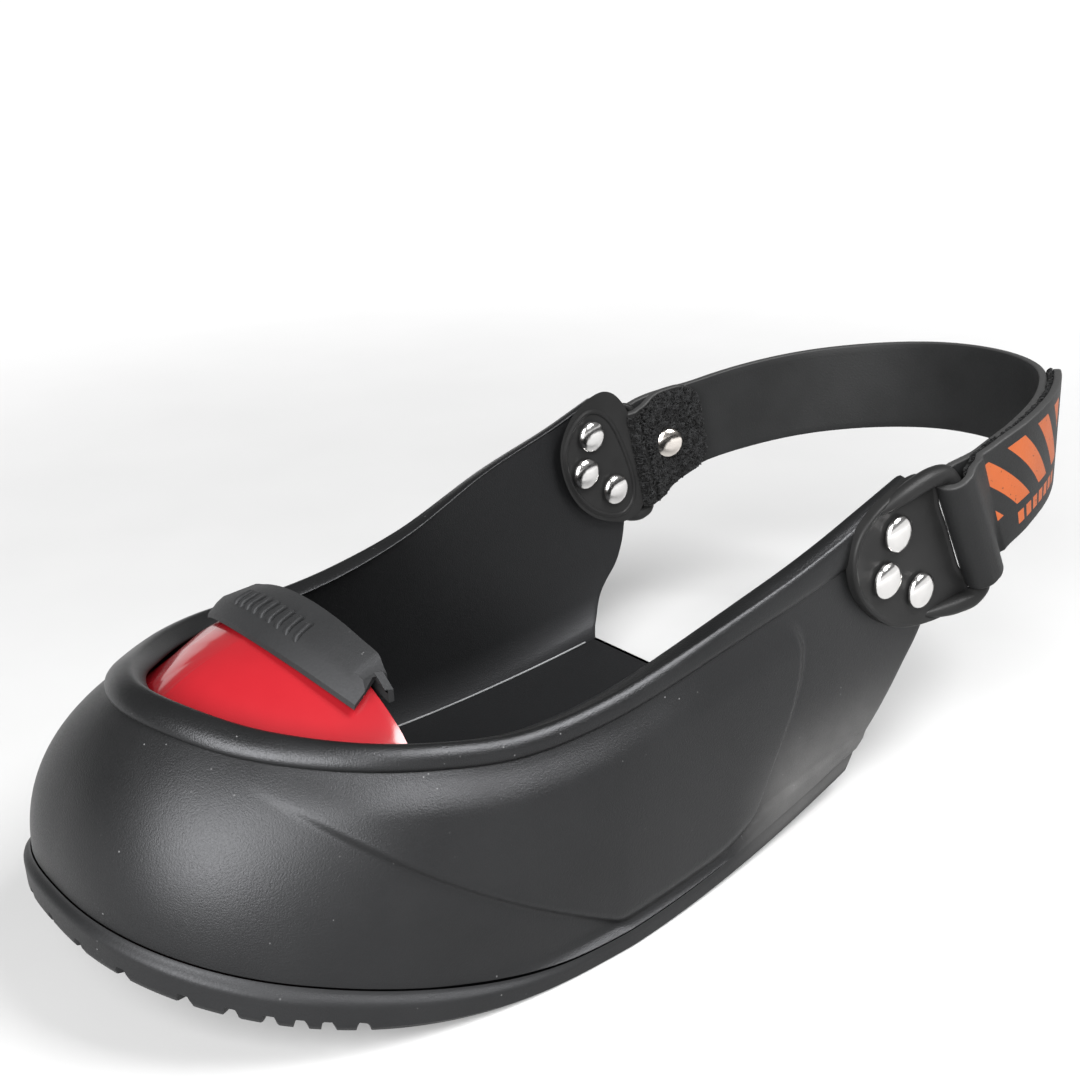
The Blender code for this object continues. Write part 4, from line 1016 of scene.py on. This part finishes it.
# %% [markdown]
# ## Strap plates
# On each ear lies a moulded plate, round in front, with a thin raised rim. A round bar, bent to a U,
# grows out of it at the rear, and the strap runs through the slot between. The near plate shows its
# outer side, the far one its inner side with a smooth lip behind the flat face. Each plate is a closed
# loop of points drawn in level by level; the bar is a round section of changing size carried along a line.

# %% Plate shapes
NEAR_EDGE = ((195.6, 77.4), (191.6, 80.2), (184.6, 79.8), (179.3, 77.9), (174.2, 75.5), (170.6, 72.8),
             (168.4, 69.6), (167.5, 66.3), (167.7, 62.8), (169.0, 58.6), (171.8, 54.2), (175.6, 50.3),
             (180.3, 46.7), (185.2, 44.4), (190.0, 43.2), (195.6, 42.5), (201.6, 42.3), (207.4, 43.2),
             (210.8, 45.8), (210.2, 48.9), (206.5, 53.7), (203.5, 59.8), (200.65, 65.9), (197.6, 71.8))
FAR_EDGE = ((189.4, 77.8), (192.0, 76.8), (194.3, 74.6), (196.6, 71.2), (198.6, 66.6), (200.2, 61.6),
            (201.3, 56.6), (202.2, 51.8), (202.6, 46.8), (201.2, 43.0), (197.2, 41.8), (192.4, 42.8),
            (187.8, 44.7), (183.5, 47.7), (179.9, 51.7), (177.4, 56.3), (175.9, 61.2), (175.6, 65.6),
            (177.0, 70.0), (179.6, 73.6), (182.8, 75.9), (186.2, 77.4))
FAR_FACE = ((187.2, 73.6), (190.2, 71.4), (192.3, 68.6), (194.6, 64.2), (196.8, 59.0), (198.6, 54.0),
            (199.5, 49.2), (198.8, 45.2), (196.2, 43.2), (192.4, 43.4), (187.8, 45.2), (183.6, 48.1),
            (180.1, 52.0), (177.6, 56.4), (176.1, 61.2), (175.9, 65.4), (177.5, 69.4), (180.2, 72.6),
            (183.6, 74.3))
FACE_LEVELS = ((0.0, 0.0), (0.0, 1.7), (0.12, 2.2), (0.40, 2.47), (0.75, 2.5), (1.05, 2.4), (1.35, 2.16),
               (1.7, 2.06))
LIP_LEVELS = ((0.0, -1.2), (0.0, -0.2), (0.2, 0.5), (0.7, 1.15), (1.4, 1.7), (2.2, 2.0))
PLATE_THICKNESS = 2.5
PLATE_POINTS = 180
PLATE_INWARDS = np.array([0.15, 0.4, 0.7, 1.0])[:, None, None]
PLATE_AWAY = -SIDEWAYS
NEAR_FACE_Y = -EAR_FACE
FAR_FACE_Y = EAR_FACE - WALL
BAR_LINES = 121
BAR_SIDES = 20
BAR_END = 0.2
BAR_COLUMNS = ("x", "z", "away", "radius")
NEAR_BAR = ((175.4, 74.4, 1.6, 0.3), (178.6, 75.9, 2.2, 1.2), (182.6, 77.4, 2.7, 2.0),
            (187.4, 78.9, 3.2, 2.3), (192.2, 79.9, 3.7, 2.4), (196.4, 79.7, 4.2, 2.3),
            (198.9, 77.4, 4.6, 2.1), (201.6, 72.0, 4.9, 2.1), (205.2, 64.6, 4.9, 2.1),
            (209.0, 57.0, 4.9, 2.1), (212.2, 50.6, 4.8, 2.1), (212.6, 47.2, 4.5, 2.2),
            (210.2, 45.2, 4.0, 2.3), (205.6, 44.5, 3.4, 2.2), (200.6, 44.4, 2.7, 1.8),
            (196.4, 44.6, 2.1, 1.1), (193.4, 44.9, 1.6, 0.3))
FAR_BAR = ((193.5, 71.8, -0.8, 0.5), (196.8, 72.8, -0.8, 0.8), (199.4, 73.2, -0.4, 0.9),
           (200.9, 72.4, 0.0, 1.1), (202.0, 68.0, 0.0, 1.3), (204.6, 57.2, 0.0, 1.3),
           (207.0, 46.8, 0.0, 1.3), (208.3, 43.0, 0.0, 1.5), (207.4, 40.4, 0.0, 1.8),
           (204.8, 39.5, 0.0, 2.0), (201.4, 39.8, 0.0, 2.0), (197.6, 41.2, 0.0, 1.6),
           (194.5, 43.5, -0.3, 0.8))


def closed_curve(table, count):
    """Smooth loop through the points of a table, with a few repeated at both ends to close it."""
    points = np.asarray(table, float)
    ring = np.vstack([points[-4:], points, points[:4]])
    run = travel(ring)
    return curve(ring, np.linspace(run[4], run[-4], count, endpoint=False))


def plate_point(x, z, face_y, away):
    """Layout points from places in the plate's plane and heights above the wing's face."""
    x, z, away = np.broadcast_arrays(x, z, away)
    return np.stack([x, face_y - away, z], -1)


def plate_body(edge, face_y, levels):
    """Loop drawn in along its normals at each level, then to its middle on top and below."""
    x, z = closed_curve(edge, PLATE_POINTS).T
    run_x, run_z = np.roll(x, -1) - np.roll(x, 1), np.roll(z, -1) - np.roll(z, 1)
    length = np.hypot(run_x, run_z)
    inset, height = np.asarray(levels).T[..., None]
    top = plate_point(x - inset * run_z / length, z + inset * run_x / length, face_y, SEAT + height)
    face = top[-1] + (top[-1].mean(0) - top[-1]) * PLATE_INWARDS
    under = top[0] + (top[0].mean(0) - top[0]) * PLATE_INWARDS[::-1]
    return np.concatenate([under, top, face])


def plate_bar(table, face_y):
    """Round section of changing radius carried along the bar's line."""
    row = named(table, BAR_COLUMNS)
    knots = plate_point(row["x"], row["z"], face_y, row["away"])
    run = travel(knots)
    where = np.linspace(0.0, run[-1], BAR_LINES)
    centre = curve(knots, where)
    section = through(where, run, row["radius"])[:, None, None] * circle(BAR_SIDES)
    return drawn_in(swept(centre, np.broadcast_to(PLATE_AWAY, centre.shape), section), BAR_END)


piece("near_plate", [(plate_body(NEAR_EDGE, NEAR_FACE_Y, FACE_LEVELS), True),
                     (plate_bar(NEAR_BAR, NEAR_FACE_Y), True)],
      plate_finish, "plate_plastic", ["strap_plate_near"], 50.0)
piece("far_plate", [(plate_body(FAR_FACE, FAR_FACE_Y, FACE_LEVELS), True),
                    (plate_body(FAR_EDGE, FAR_FACE_Y, LIP_LEVELS), True),
                    (plate_bar(FAR_BAR, FAR_FACE_Y), True)],
      plate_finish, "plate_plastic", ["strap_plate_far"], 50.0)

# %% [markdown]
# ## Rivets
# Each plate is held by three hollow rivets with low domed heads. A rivet is one profile turned round its
# axis: dome, rim, shank and the flat closing head on the other side of the wing.

# %% Plate rivets
NEAR_RIVETS = ((182.0, 69.0), (178.8, 58.5), (191.2, 52.4))
FAR_RIVETS = ((184.2, 68.3), (181.8, 57.9), (192.6, 50.6))
RIVET_HEAD = 4.4
RIVET_DOME = 2.3
RIVET_SHANK = 1.8
RIVET_TAIL = 3.4
RIVET_TAIL_HEIGHT = 1.0
RIVET_RIM = 0.5
RIVET_SUNK = 0.35
RIVET_SIDES = 56


def rivet_profile(head_seat, tail_seat):
    """(radius, height) rows: an elliptic dome, a rolled rim, the shank and the closing head."""
    turn = np.linspace(0.0, np.pi / 2, 14)
    height = head_seat + RIVET_RIM + (RIVET_DOME - RIVET_RIM) * np.cos(turn)
    dome = np.stack([RIVET_HEAD * np.sin(turn), height], -1)
    half, end = tail_seat - 0.5 * RIVET_TAIL_HEIGHT, tail_seat - RIVET_TAIL_HEIGHT
    rest = [(RIVET_HEAD, head_seat + 0.5 * RIVET_RIM), (RIVET_HEAD - 0.2, head_seat),
            (RIVET_SHANK, head_seat), (RIVET_SHANK, tail_seat), (RIVET_TAIL, tail_seat), (RIVET_TAIL, half),
            (RIVET_TAIL - 0.4, end), (1.2, end), (0.9, half), (0.0, half)]
    return np.concatenate([dome, rest])


def turned(profile, centre, away):
    """Profile rows turned round the line through centre along away."""
    away = unit(np.asarray(away, float))
    side = unit(np.cross(away, np.array([0.3, 0.1, 1.0])))
    turn = np.arange(RIVET_SIDES) * 2.0 * np.pi / RIVET_SIDES
    spoke = np.cos(turn)[:, None] * side + np.sin(turn)[:, None] * np.cross(away, side)
    radius, height = profile.T[..., None, None]
    return centre + height * away + radius * spoke


plate_rivet = rivet_profile(2.0 * SEAT + PLATE_THICKNESS - RIVET_SUNK, -WALL - SEAT)
for side, face_y, places in (("near", NEAR_FACE_Y, NEAR_RIVETS), ("far", FAR_FACE_Y, FAR_RIVETS)):
    for number, (x, z) in enumerate(places, 1):
        grid = turned(plate_rivet, np.array([x, face_y, z]), PLATE_AWAY)
        piece(f"{side}_rivet_{number}", [(grid, True)], rivet_finish, "rivet_nickel",
              [f"rivet_{side}_{number}"], 35.0)

# %% [markdown]
# ## Heel strap
# The strap is a flat band of coated webbing. It leaves the far bar, runs behind the heel to the near bar,
# turns round it and comes back over itself. Its centre line is joined from these stretches, and a thin
# rounded section is carried along it. Each point keeps its place along and across the strap, so that the
# printed marks follow the band round its bends.

# %% Strap line
STRAP_WIDTH = 25.6
STRAP_THICKNESS = 2.0
STRAP_LAYERS = 3.2
STRAP_POINTS = 1201
STRAP_END_ROUND = 6.0
NEAR_FOLD = 63.5
FAR_FOLD = 22.5
FAR_PINCH = (-6.0, 20.0)
NEAR_PINCH = (1.0, 9.5)
NEAR_SPRING = 0.3
STRAP_STRAIGHT = 6.0
NEAR_BAR_RADIUS, FAR_BAR_RADIUS = 2.1, 1.3
NEAR_WRAP = NEAR_BAR_RADIUS + SEAT + 0.5 * STRAP_THICKNESS
FAR_WRAP = FAR_BAR_RADIUS + SEAT + 0.5 * STRAP_THICKNESS
FOLD_START = 1.2
FAR_TURN_AT = np.array([204.6, FAR_FACE_Y, 57.2])
NEAR_TURN_AT = np.array([205.5, NEAR_FACE_Y - 4.9, 64.4])
FAR_TILT, NEAR_TILT = 13.0, 26.0
FAR_STRETCH, NEAR_STRETCH = 1.20, 1.26
FAR_FADE, NEAR_FADE = (3.0, 24.0), (1.0, 12.0)
FLAP_STRETCH = 1.10
FAR_END_RISE = 1.3
FAR_END_RISE_FROM = (2.0, 12.0)
STRAP_ROUTE = (
    (221.0, 51.5, 62.0),
    (240.0, 46.8, 65.0),
    (257.0, 37.2, 67.7),
    (270.0, 22.5, 70.0),
    (277.3, 3.0, 72.2),
    (275.4, -18.5, 73.9),
    (265.0, -37.5, 74.8),
    (247.0, -50.4, 74.4),
    (227.0, -57.0, 72.2),
)


def tilted(angle_deg):
    """Directions along the strap and along the bar where it turns round a bar of that tilt."""
    angle = np.radians(angle_deg)
    return np.array([np.cos(angle), 0.0, np.sin(angle)]), np.array([-np.sin(angle), 0.0, np.cos(angle)])


FAR_WAY, FAR_AXIS = tilted(FAR_TILT)
NEAR_WAY, NEAR_AXIS = tilted(NEAR_TILT)


def strap_main():
    """Smooth curve from bar to bar through the route round the heel."""
    first, last = FAR_TURN_AT + FAR_WRAP * SIDEWAYS, NEAR_TURN_AT + NEAR_WRAP * SIDEWAYS
    knots = np.vstack([first, first + STRAP_STRAIGHT * FAR_WAY, STRAP_ROUTE,
                       last + STRAP_STRAIGHT * NEAR_WAY, last])
    return curve(knots, np.linspace(0.0, travel(knots)[-1], STRAP_POINTS))


STRAP_MAIN = strap_main()
STRAP_RUN = travel(STRAP_MAIN)
STRAP_TOTAL = STRAP_RUN[-1]


def along_main(distance):
    """Point on the main stretch at a distance from the far bar."""
    return np.stack([np.interp(distance, STRAP_RUN, column) for column in STRAP_MAIN.T], -1)


def beside_main(distance, gap, side):
    """Point beside the main stretch: moved level, across the strap's face, by the gap."""
    tangent = unit(along_main(distance + 1.0) - along_main(distance - 1.0))
    return along_main(distance) + side * gap[:, None] * unit(np.cross(tangent, UP))


def layer_gap(from_bar, wrap, end, pinch):
    """Distance between the layers: the bar's wrap at the bar, eased to the pressed gap."""
    return end + (2.0 * wrap - end) * (1.0 - smooth(*pinch, from_bar))


def strap_line():
    """Far end, far turn, main stretch, near turn and near end in one line, with its width directions."""
    far_run = np.linspace(FAR_FOLD, FOLD_START, 56)
    far_end = beside_main(far_run, layer_gap(far_run, FAR_WRAP, STRAP_LAYERS, FAR_PINCH), 1.0)
    far_end[:, 2] += FAR_END_RISE * smooth(*FAR_END_RISE_FROM, far_run)
    turn = np.linspace(0.0, np.pi, 21)[1:-1, None]
    far_turn = FAR_TURN_AT + FAR_WRAP * (-np.cos(turn) * SIDEWAYS - np.sin(turn) * FAR_WAY)
    main = np.linspace(0.0, STRAP_TOTAL, 420)
    near_turn = NEAR_TURN_AT + NEAR_WRAP * (np.cos(turn) * SIDEWAYS - np.sin(turn) * NEAR_WAY)
    near_run = np.linspace(FOLD_START, NEAR_FOLD, 132)
    near_gap = layer_gap(near_run, NEAR_WRAP, STRAP_LAYERS + NEAR_SPRING * near_run / NEAR_FOLD, NEAR_PINCH)
    near_end = beside_main(STRAP_TOTAL - near_run, near_gap, -1.0)
    line = np.concatenate([far_end, far_turn, along_main(main), near_turn, near_end])
    near_start, main_start = len(line) - len(near_end), len(far_end) + len(far_turn)
    run = travel(line)
    far_middle = 0.5 * (run[len(far_end)] + run[main_start])
    near_middle = 0.5 * (run[near_start - len(near_turn)] + run[near_start])
    from_far = np.maximum(0.0, np.abs(run - far_middle) - 2.0 * FAR_WRAP)
    from_near = np.maximum(0.0, np.abs(run - near_middle) - 2.0 * NEAR_WRAP)
    at_far, at_near = 1.0 - smooth(*FAR_FADE, from_far)[:, None], 1.0 - smooth(*NEAR_FADE, from_near)[:, None]
    along = unit(np.gradient(line, run, axis=0))
    upright = unit(UP - along[:, 2:] * along)
    upright[near_start:] *= FLAP_STRETCH
    across = (upright * (1.0 - at_far - at_near)
              + FAR_STRETCH * FAR_AXIS * at_far + NEAR_STRETCH * NEAR_AXIS * at_near)
    return line, across, near_start, len(far_end)


STRAP_LINE, STRAP_ACROSS, NEAR_START, FAR_LINES = strap_line()
strap_run = travel(STRAP_LINE)
print("strap length, mm:", round(float(strap_run[-1]), 1))

# %% [markdown]
# ## Strap finish and print
# The band is coated, so it has a pressed grain and a dull sheen instead of an open weave. The loose end
# carries an orange print, a plain pattern of slanted stripes over a row of small blocks. It is laid out
# with the point values along and across the strap, so no picture is needed.

# %% Strap finish
ORANGE = (0.27, 0.062, 0.014, 1.0)
ORANGE_WORN = (0.21, 0.046, 0.012, 1.0)
STRIPE_PITCH = 12.0
CUT_EDGE = (0.5 * STRAP_WIDTH - 0.45, 0.5 * STRAP_WIDTH - 0.05)
PRINT_FROM, PRINT_TO = 9.0, 47.0
STRIPE_SHARE, STRIPE_ACROSS, STRIPE_SLANT = (0.10, 0.62), (-4.6, 10.2), 0.9
BLOCK_PITCH, BLOCK_SHARE, BLOCK_ACROSS = 4.2, (0.12, 0.80), (-9.8, -6.8)
BLOCKS_FROM, BLOCKS_TO = PRINT_FROM + 8.0, PRINT_TO - 2.0
STRAP_GREYS = (0.0050, 0.0070)
FIBRE_GREY, UNDER_PILE_GREY, CUT_GREY = 0.04, 0.003, 0.020


def strap_webbing():
    """Coated band: fine pressed grain, cloudy grey, a print on the loose end."""
    coat = Finish("strap_webbing", specular_ior_level=0.21)
    along, across, face = coat.own("along"), coat.own("across"), coat.own("face")
    cloud = coat.noise(16.0, 4.0)
    grain = coat.noise(0.5, 3.0)
    fine = coat.noise(0.2, 1.0)
    slant = (along + across * STRIPE_SLANT) / STRIPE_PITCH
    stripe = slant.maths("FRACT").within(*STRIPE_SHARE)
    field = along.within(PRINT_FROM, PRINT_TO) * across.within(*STRIPE_ACROSS)
    blocks = (along / BLOCK_PITCH).maths("FRACT").within(*BLOCK_SHARE)
    row = along.within(BLOCKS_FROM, BLOCKS_TO) * across.within(*BLOCK_ACROSS)
    worn = coat.noise(1.1, 3.0).ease(0.66, 0.72)
    ink = (stripe * field + blocks * row) * face.maths("GREATER_THAN", 0.5) * (1.0 - worn * 0.8)
    body = coat.blend(cloud.ease(*CLOUD), *(tone(grey, -0.03) for grey in STRAP_GREYS))
    body = coat.blend(fine.ease(0.66, 0.8) * 0.35, body, tone(FIBRE_GREY))
    body = coat.blend(coat.own("pile"), body, tone(UNDER_PILE_GREY))
    cut_edge = across.maths("ABSOLUTE").ease(*CUT_EDGE)
    body = coat.blend(cut_edge, body, tone(CUT_GREY))
    print_colour = coat.blend(cloud, ORANGE, ORANGE_WORN)
    colour = coat.blend(ink, body, print_colour)
    rough = 0.58 + (cloud - 0.5) * 0.14 + (grain - 0.5) * 0.16 - ink * 0.06
    return coat.finished(colour, rough, grain + ink * 0.5, 0.05)


strap_finish = strap_webbing()

# %% Strap mesh
STRAP_SECTION = bar_section(0.5 * STRAP_WIDTH, 0.5 * STRAP_THICKNESS, 0.45, 13, 3)
STRAP_END = 0.3
UNDER_PILE = FAR_FOLD + 10.0


def corner_loss(from_end):
    """Half width lost to the round corner: R - sqrt(R^2 - (R - d)^2) at a distance d from the end."""
    return STRAP_END_ROUND * (1.0 - np.sqrt(1.0 - np.clip(1.0 - from_end / STRAP_END_ROUND, 0.0, 1.0) ** 2))


def strap_ring():
    """Rounded section carried along the line; the width narrows to a round corner at both ends."""
    width = 1.0 - corner_loss(np.minimum(strap_run, strap_run[-1] - strap_run)) / (0.5 * STRAP_WIDTH)
    across, high = np.broadcast_arrays(STRAP_SECTION[:, 0] * width[:, None], STRAP_SECTION[:, 1])
    rows = np.stack([across, high], -1)
    along = unit(np.gradient(STRAP_LINE, strap_run, axis=0))
    away = unit(np.cross(along, STRAP_ACROSS))
    return (STRAP_LINE[:, None] + rows[..., :1] * STRAP_ACROSS[:, None] + rows[..., 1:] * away[:, None]), rows


ring, rows = strap_ring()
padded = drawn_in(ring, STRAP_END)
spare = (len(padded) - len(ring)) // 2
rows = np.concatenate([rows[:1]] * spare + [rows] + [rows[-1:]] * spare)
place = np.concatenate([[strap_run[0]] * spare, strap_run, [strap_run[-1]] * spare]) - strap_run[NEAR_START]
under_pile = (place[:, None] + strap_run[NEAR_START] < UNDER_PILE) * (rows[..., 1] < 0.0)
piece("strap_band", [(padded, True)], strap_finish, "strap_webbing", ["heel_strap"], 45.0,
      along=np.broadcast_to(place[:, None], rows.shape[:2]), across=rows[..., 0],
      face=np.sign(rows[..., 1]), pile=under_pile)

# %% Strap rivet
STRAP_RIVET_AT = 10.8
STRAP_RIVET_PROUD = 0.3
near_points = along_main(STRAP_RIVET_AT + np.array([-1.0, 0.0, 1.0]))
inside_way = unit(np.cross(unit(near_points[2] - near_points[0]), UP))
middle = near_points[1] + 0.5 * STRAP_LAYERS * inside_way
seat = 0.5 * (STRAP_LAYERS + STRAP_THICKNESS) + 2.0 * SEAT
grid = turned(rivet_profile(seat + STRAP_RIVET_PROUD, -seat), middle, inside_way)
piece("strap_rivet_head", [(grid, True)], strap_rivet_finish, "rivet_nickel", ["strap_rivet"], 35.0)

# %% [markdown]
# ## Loop pile
# The folded ends fasten with hook and loop. On the far end the pile faces the foot, and on the near end
# a dark fringe of it shows between the two layers. Pile is thousands of tiny loops of yarn. Each one
# here is half a turn of a thin tube, scattered with a fixed seed over the strap's own surface.

# %% Pile finish and loops
PILE_SEED = 7
PILE_RADIUS = 0.56
YARN = 0.23
YARN_GREYS = (0.0015, 0.012)
LOOP_SIZES = (0.7, 1.35)
LOOP_LEAN = 0.45
LOOP_ROOT = 0.35
LOOP_STEPS = 7
LOOP_SIDES = 4


def pile_yarn():
    """Matt black yarn with paler tips here and there."""
    coat = Finish("pile_yarn", specular_ior_level=0.12, sheen_weight=0.06, sheen_roughness=0.4)
    spread = coat.noise(1.6, 2.0)
    colour = coat.blend(spread.ease(0.35, 0.75), *(tone(grey, -0.03) for grey in YARN_GREYS))
    return coat.finished(colour, 0.75 + spread * 0.15, coat.noise(0.2, 1.0), 0.03)


def pile_loops(base, along, out, seed, radius):
    """Half circles of yarn: base + r cos(t) way + r sin(t) out, with a square section round that arc."""
    draw = np.random.default_rng(seed)
    count = len(base)
    spin = draw.uniform(0.0, np.pi, (count, 1))
    size = radius * draw.uniform(*LOOP_SIZES, (count, 1, 1, 1))
    other = np.cross(out, along)
    way = unit(np.cos(spin) * along + np.sin(spin) * other)
    tip = unit(out + LOOP_LEAN * draw.uniform(-1.0, 1.0, (count, 1)) * np.cross(out, way))
    turn = np.linspace(-LOOP_ROOT, np.pi + LOOP_ROOT, LOOP_STEPS)[None, :, None, None]
    ring = np.arange(LOOP_SIDES)[None, None, :, None] * 2.0 * np.pi / LOOP_SIDES
    way, tip, start = way[:, None, None], tip[:, None, None], base[:, None, None]
    arc = np.cos(turn) * way + np.sin(turn) * tip
    thick = YARN * np.sin(np.linspace(0.0, np.pi, LOOP_STEPS))[None, :, None, None] ** 0.3
    return start + arc * (size + thick * np.cos(ring)) + np.cross(way, tip) * thick * np.sin(ring)


pile_finish = pile_yarn()
print("loops have", LOOP_STEPS * LOOP_SIDES, "points each")

# %% Pile on the far end
FAR_PILE_LOOPS = 3000
FAR_PILE_PAST = 14.0
FAR_PILE_MARGIN = 0.8
FAR_PILE_LIFT = 0.05
STRAP_NUMBERS = np.arange(len(strap_run))
draw = np.random.default_rng(PILE_SEED)


def on_strap(line_number, share):
    """Points on the strap's back face: between grid lines, at a share of the half width."""
    low = np.floor(line_number).astype(int)
    rest = (line_number - low)[:, None]
    along = unit(np.gradient(STRAP_LINE, strap_run, axis=0))
    point = STRAP_LINE[low] * (1.0 - rest) + STRAP_LINE[low + 1] * rest
    across = STRAP_ACROSS[low] * (1.0 - rest) + STRAP_ACROSS[low + 1] * rest
    return point + share[:, None] * across, along[low], unit(np.cross(along[low], across))


number = draw.uniform(1.0, FAR_LINES + FAR_PILE_PAST, FAR_PILE_LOOPS)
reach = 0.5 * STRAP_WIDTH - corner_loss(np.interp(number, STRAP_NUMBERS, strap_run)) - FAR_PILE_MARGIN
base, along, out = on_strap(number, draw.uniform(-1.0, 1.0, FAR_PILE_LOOPS) * reach)
base -= (0.5 * STRAP_THICKNESS + FAR_PILE_LIFT) * out
loops = pile_loops(base, along, -out, PILE_SEED + 1, PILE_RADIUS)
piece("far_pile", [(loops, True)], pile_finish, "strap_webbing", (), 60.0)

# %% Pile between the near layers
NEAR_PILE_LOOPS = 2000
NEAR_PILE_RADIUS = 0.85
NEAR_PILE_ENDS = 6.0
NEAR_PILE_MARGIN = (0.7, 3.2)
NEAR_PILE_LIFT = 0.2
UPPER_EDGE_SHARE = 0.7
number = draw.uniform(NEAR_START + NEAR_PILE_ENDS, len(strap_run) - NEAR_PILE_ENDS, NEAR_PILE_LOOPS)
edge = 0.5 * STRAP_WIDTH - draw.uniform(*NEAR_PILE_MARGIN, NEAR_PILE_LOOPS)
side = np.where(draw.uniform(0.0, 1.0, NEAR_PILE_LOOPS) < UPPER_EDGE_SHARE, 1.0, -1.0)
reach = edge - corner_loss(strap_run[-1] - np.interp(number, STRAP_NUMBERS, strap_run))
base, along, out = on_strap(number, side * reach)
base -= (0.5 * STRAP_THICKNESS + NEAR_PILE_LIFT) * out
loops = pile_loops(base, along, -out, PILE_SEED + 2, NEAR_PILE_RADIUS)
piece("near_pile", [(loops, True)], pile_finish, "strap_webbing", (), 60.0)

# %% [markdown]
# ## Floor, light and camera
# The shoe stands on a plain white sweep. One tall softbox stands in front on the toe's side and lights the
# toe. A smaller one hangs higher on the heel's side, where the rolled collar mirrors it as a bright line.
# The world fills the rest. The camera is placed from its angle, height and roll, so that the frame fits the
# shoe as the photograph does.

# %% Floor
FLOOR_GLOW = 1.0
FLOOR_GLOW_NEAR = 0.16
FLOOR_GLOW_FROM, FLOOR_GLOW_TO = 0.10, 1.0
FLOOR_FLAT = 2.0
FLOOR_REACH = 7.0
FLOOR_RISE = 1.6
FLOOR_SIDES = 96
FLOOR_GREYS = (0.27, 0.30)


def floor_finish():
    """Matt white paper with a faint tooth; a little glow stands for the light that a sweep gathers."""
    coat = Finish("floor_paper", specular_ior_level=0.1, emission_strength=FLOOR_GLOW)
    cloud = coat.noise(60.0, 3.0)
    away = coat.node("ShaderNodeVectorMath", {"operation": "LENGTH"}, {0: coat.place}, output="Value")
    far = away.ease(FLOOR_GLOW_FROM, FLOOR_GLOW_TO)
    coat.feed(coat.shader.inputs["Emission Color"], coat.blend(far, tone(FLOOR_GLOW_NEAR), tone(1.0)))
    colour = coat.blend(cloud, *map(tone, FLOOR_GREYS))
    return coat.finished(colour, 0.9 + cloud * 0.05, coat.noise(0.8), 0.01)


def floor_grid():
    """Shallow dish in polar form: flat round the shoe, rising by an ease at its rim."""
    radius = np.concatenate([[0.0, 0.5], np.linspace(FLOOR_FLAT, FLOOR_REACH, 24)])[:, None]
    turn = np.arange(FLOOR_SIDES)[None] * 2.0 * np.pi / FLOOR_SIDES
    height = FLOOR_RISE * smooth(FLOOR_FLAT, FLOOR_REACH, radius) ** 1.5
    return np.stack(np.broadcast_arrays(radius * np.cos(turn), radius * np.sin(turn), height), -1)


dish = floor_grid()
paper = bpy.data.meshes.new("floor")
paper.from_pydata(dish.reshape(-1, 3).tolist(), [], cells(*dish.shape[:2], True)[:, ::-1].tolist())
paper.validate()
paper.shade_smooth()
paper.materials.append(floor_finish())
floor = bpy.data.objects.new("floor", paper)
bpy.context.scene.collection.objects.link(floor)

# %% Light
LIGHT_COLUMNS = ("azimuth_deg", "elevation_deg", "distance", "size_x", "size_y", "watts")
LIGHTS = {
    "front_softbox": (-56.0, 31.0, 1.0, 0.60, 0.85, 33.0),
    "side_softbox": (27.0, 54.0, 1.0, 0.45, 0.50, 20.0),
}
WORLD_LIGHT = 0.16

world = bpy.data.worlds.new("studio")
world.use_nodes = True
world.node_tree.nodes["Background"].inputs["Color"].default_value = (1.0, 1.0, 1.0, 1.0)
world.node_tree.nodes["Background"].inputs["Strength"].default_value = WORLD_LIGHT
bpy.context.scene.world = world


def direction(azimuth, elevation):
    """Unit vector from the shoe: azimuth 0 is towards -y, positive towards +x, elevation upwards."""
    a, e = np.radians([azimuth, elevation])
    return np.array([np.sin(a) * np.cos(e), -np.cos(a) * np.cos(e), np.sin(e)])


def looking(place, back, roll=0.0):
    """Matrix at a place whose -z axis looks against back, rolled about that axis."""
    right = unit(np.cross(UP, back))
    upward = np.cross(back, right)
    c, s = np.cos(np.radians(roll)), np.sin(np.radians(roll))
    matrix = np.eye(4)
    matrix[:3, :3] = np.stack([c * right + s * upward, c * upward - s * right, back], 1)
    matrix[:3, 3] = place
    return matrix.T


for name, row in LIGHTS.items():
    setting = dict(zip(LIGHT_COLUMNS, row))
    lamp = bpy.data.lights.new(name, "AREA")
    lamp.shape = "RECTANGLE"
    lamp.size, lamp.size_y, lamp.energy = setting["size_x"], setting["size_y"], setting["watts"]
    item = bpy.data.objects.new(name, lamp)
    back = direction(setting["azimuth_deg"], setting["elevation_deg"])
    item.matrix_world = looking(setting["distance"] * back, back).tolist()
    bpy.context.scene.collection.objects.link(item)

# %% Camera
SHOT_AZIMUTH, SHOT_ELEVATION, SHOT_ROLL = -38.065, 21.231, -2.79
SHOT_DISTANCE = 0.347545
SHOT_TARGET = np.array([-0.013864, 0.00243, 0.067261])
LENS, SENSOR = 49.80, 36.0
CLIP_START = 0.01

camera = bpy.data.objects.new("camera", bpy.data.cameras.new("camera"))
camera.data.lens = LENS
camera.data.sensor_width = SENSOR
camera.data.clip_start = CLIP_START
back = direction(SHOT_AZIMUTH, SHOT_ELEVATION)
camera.matrix_world = looking(SHOT_TARGET + SHOT_DISTANCE * back, back, SHOT_ROLL).tolist()
bpy.context.scene.collection.objects.link(camera)
bpy.context.scene.camera = camera
bpy.context.scene.view_settings.view_transform = "Standard"
print("camera at", np.round(camera.matrix_world.translation, 4))
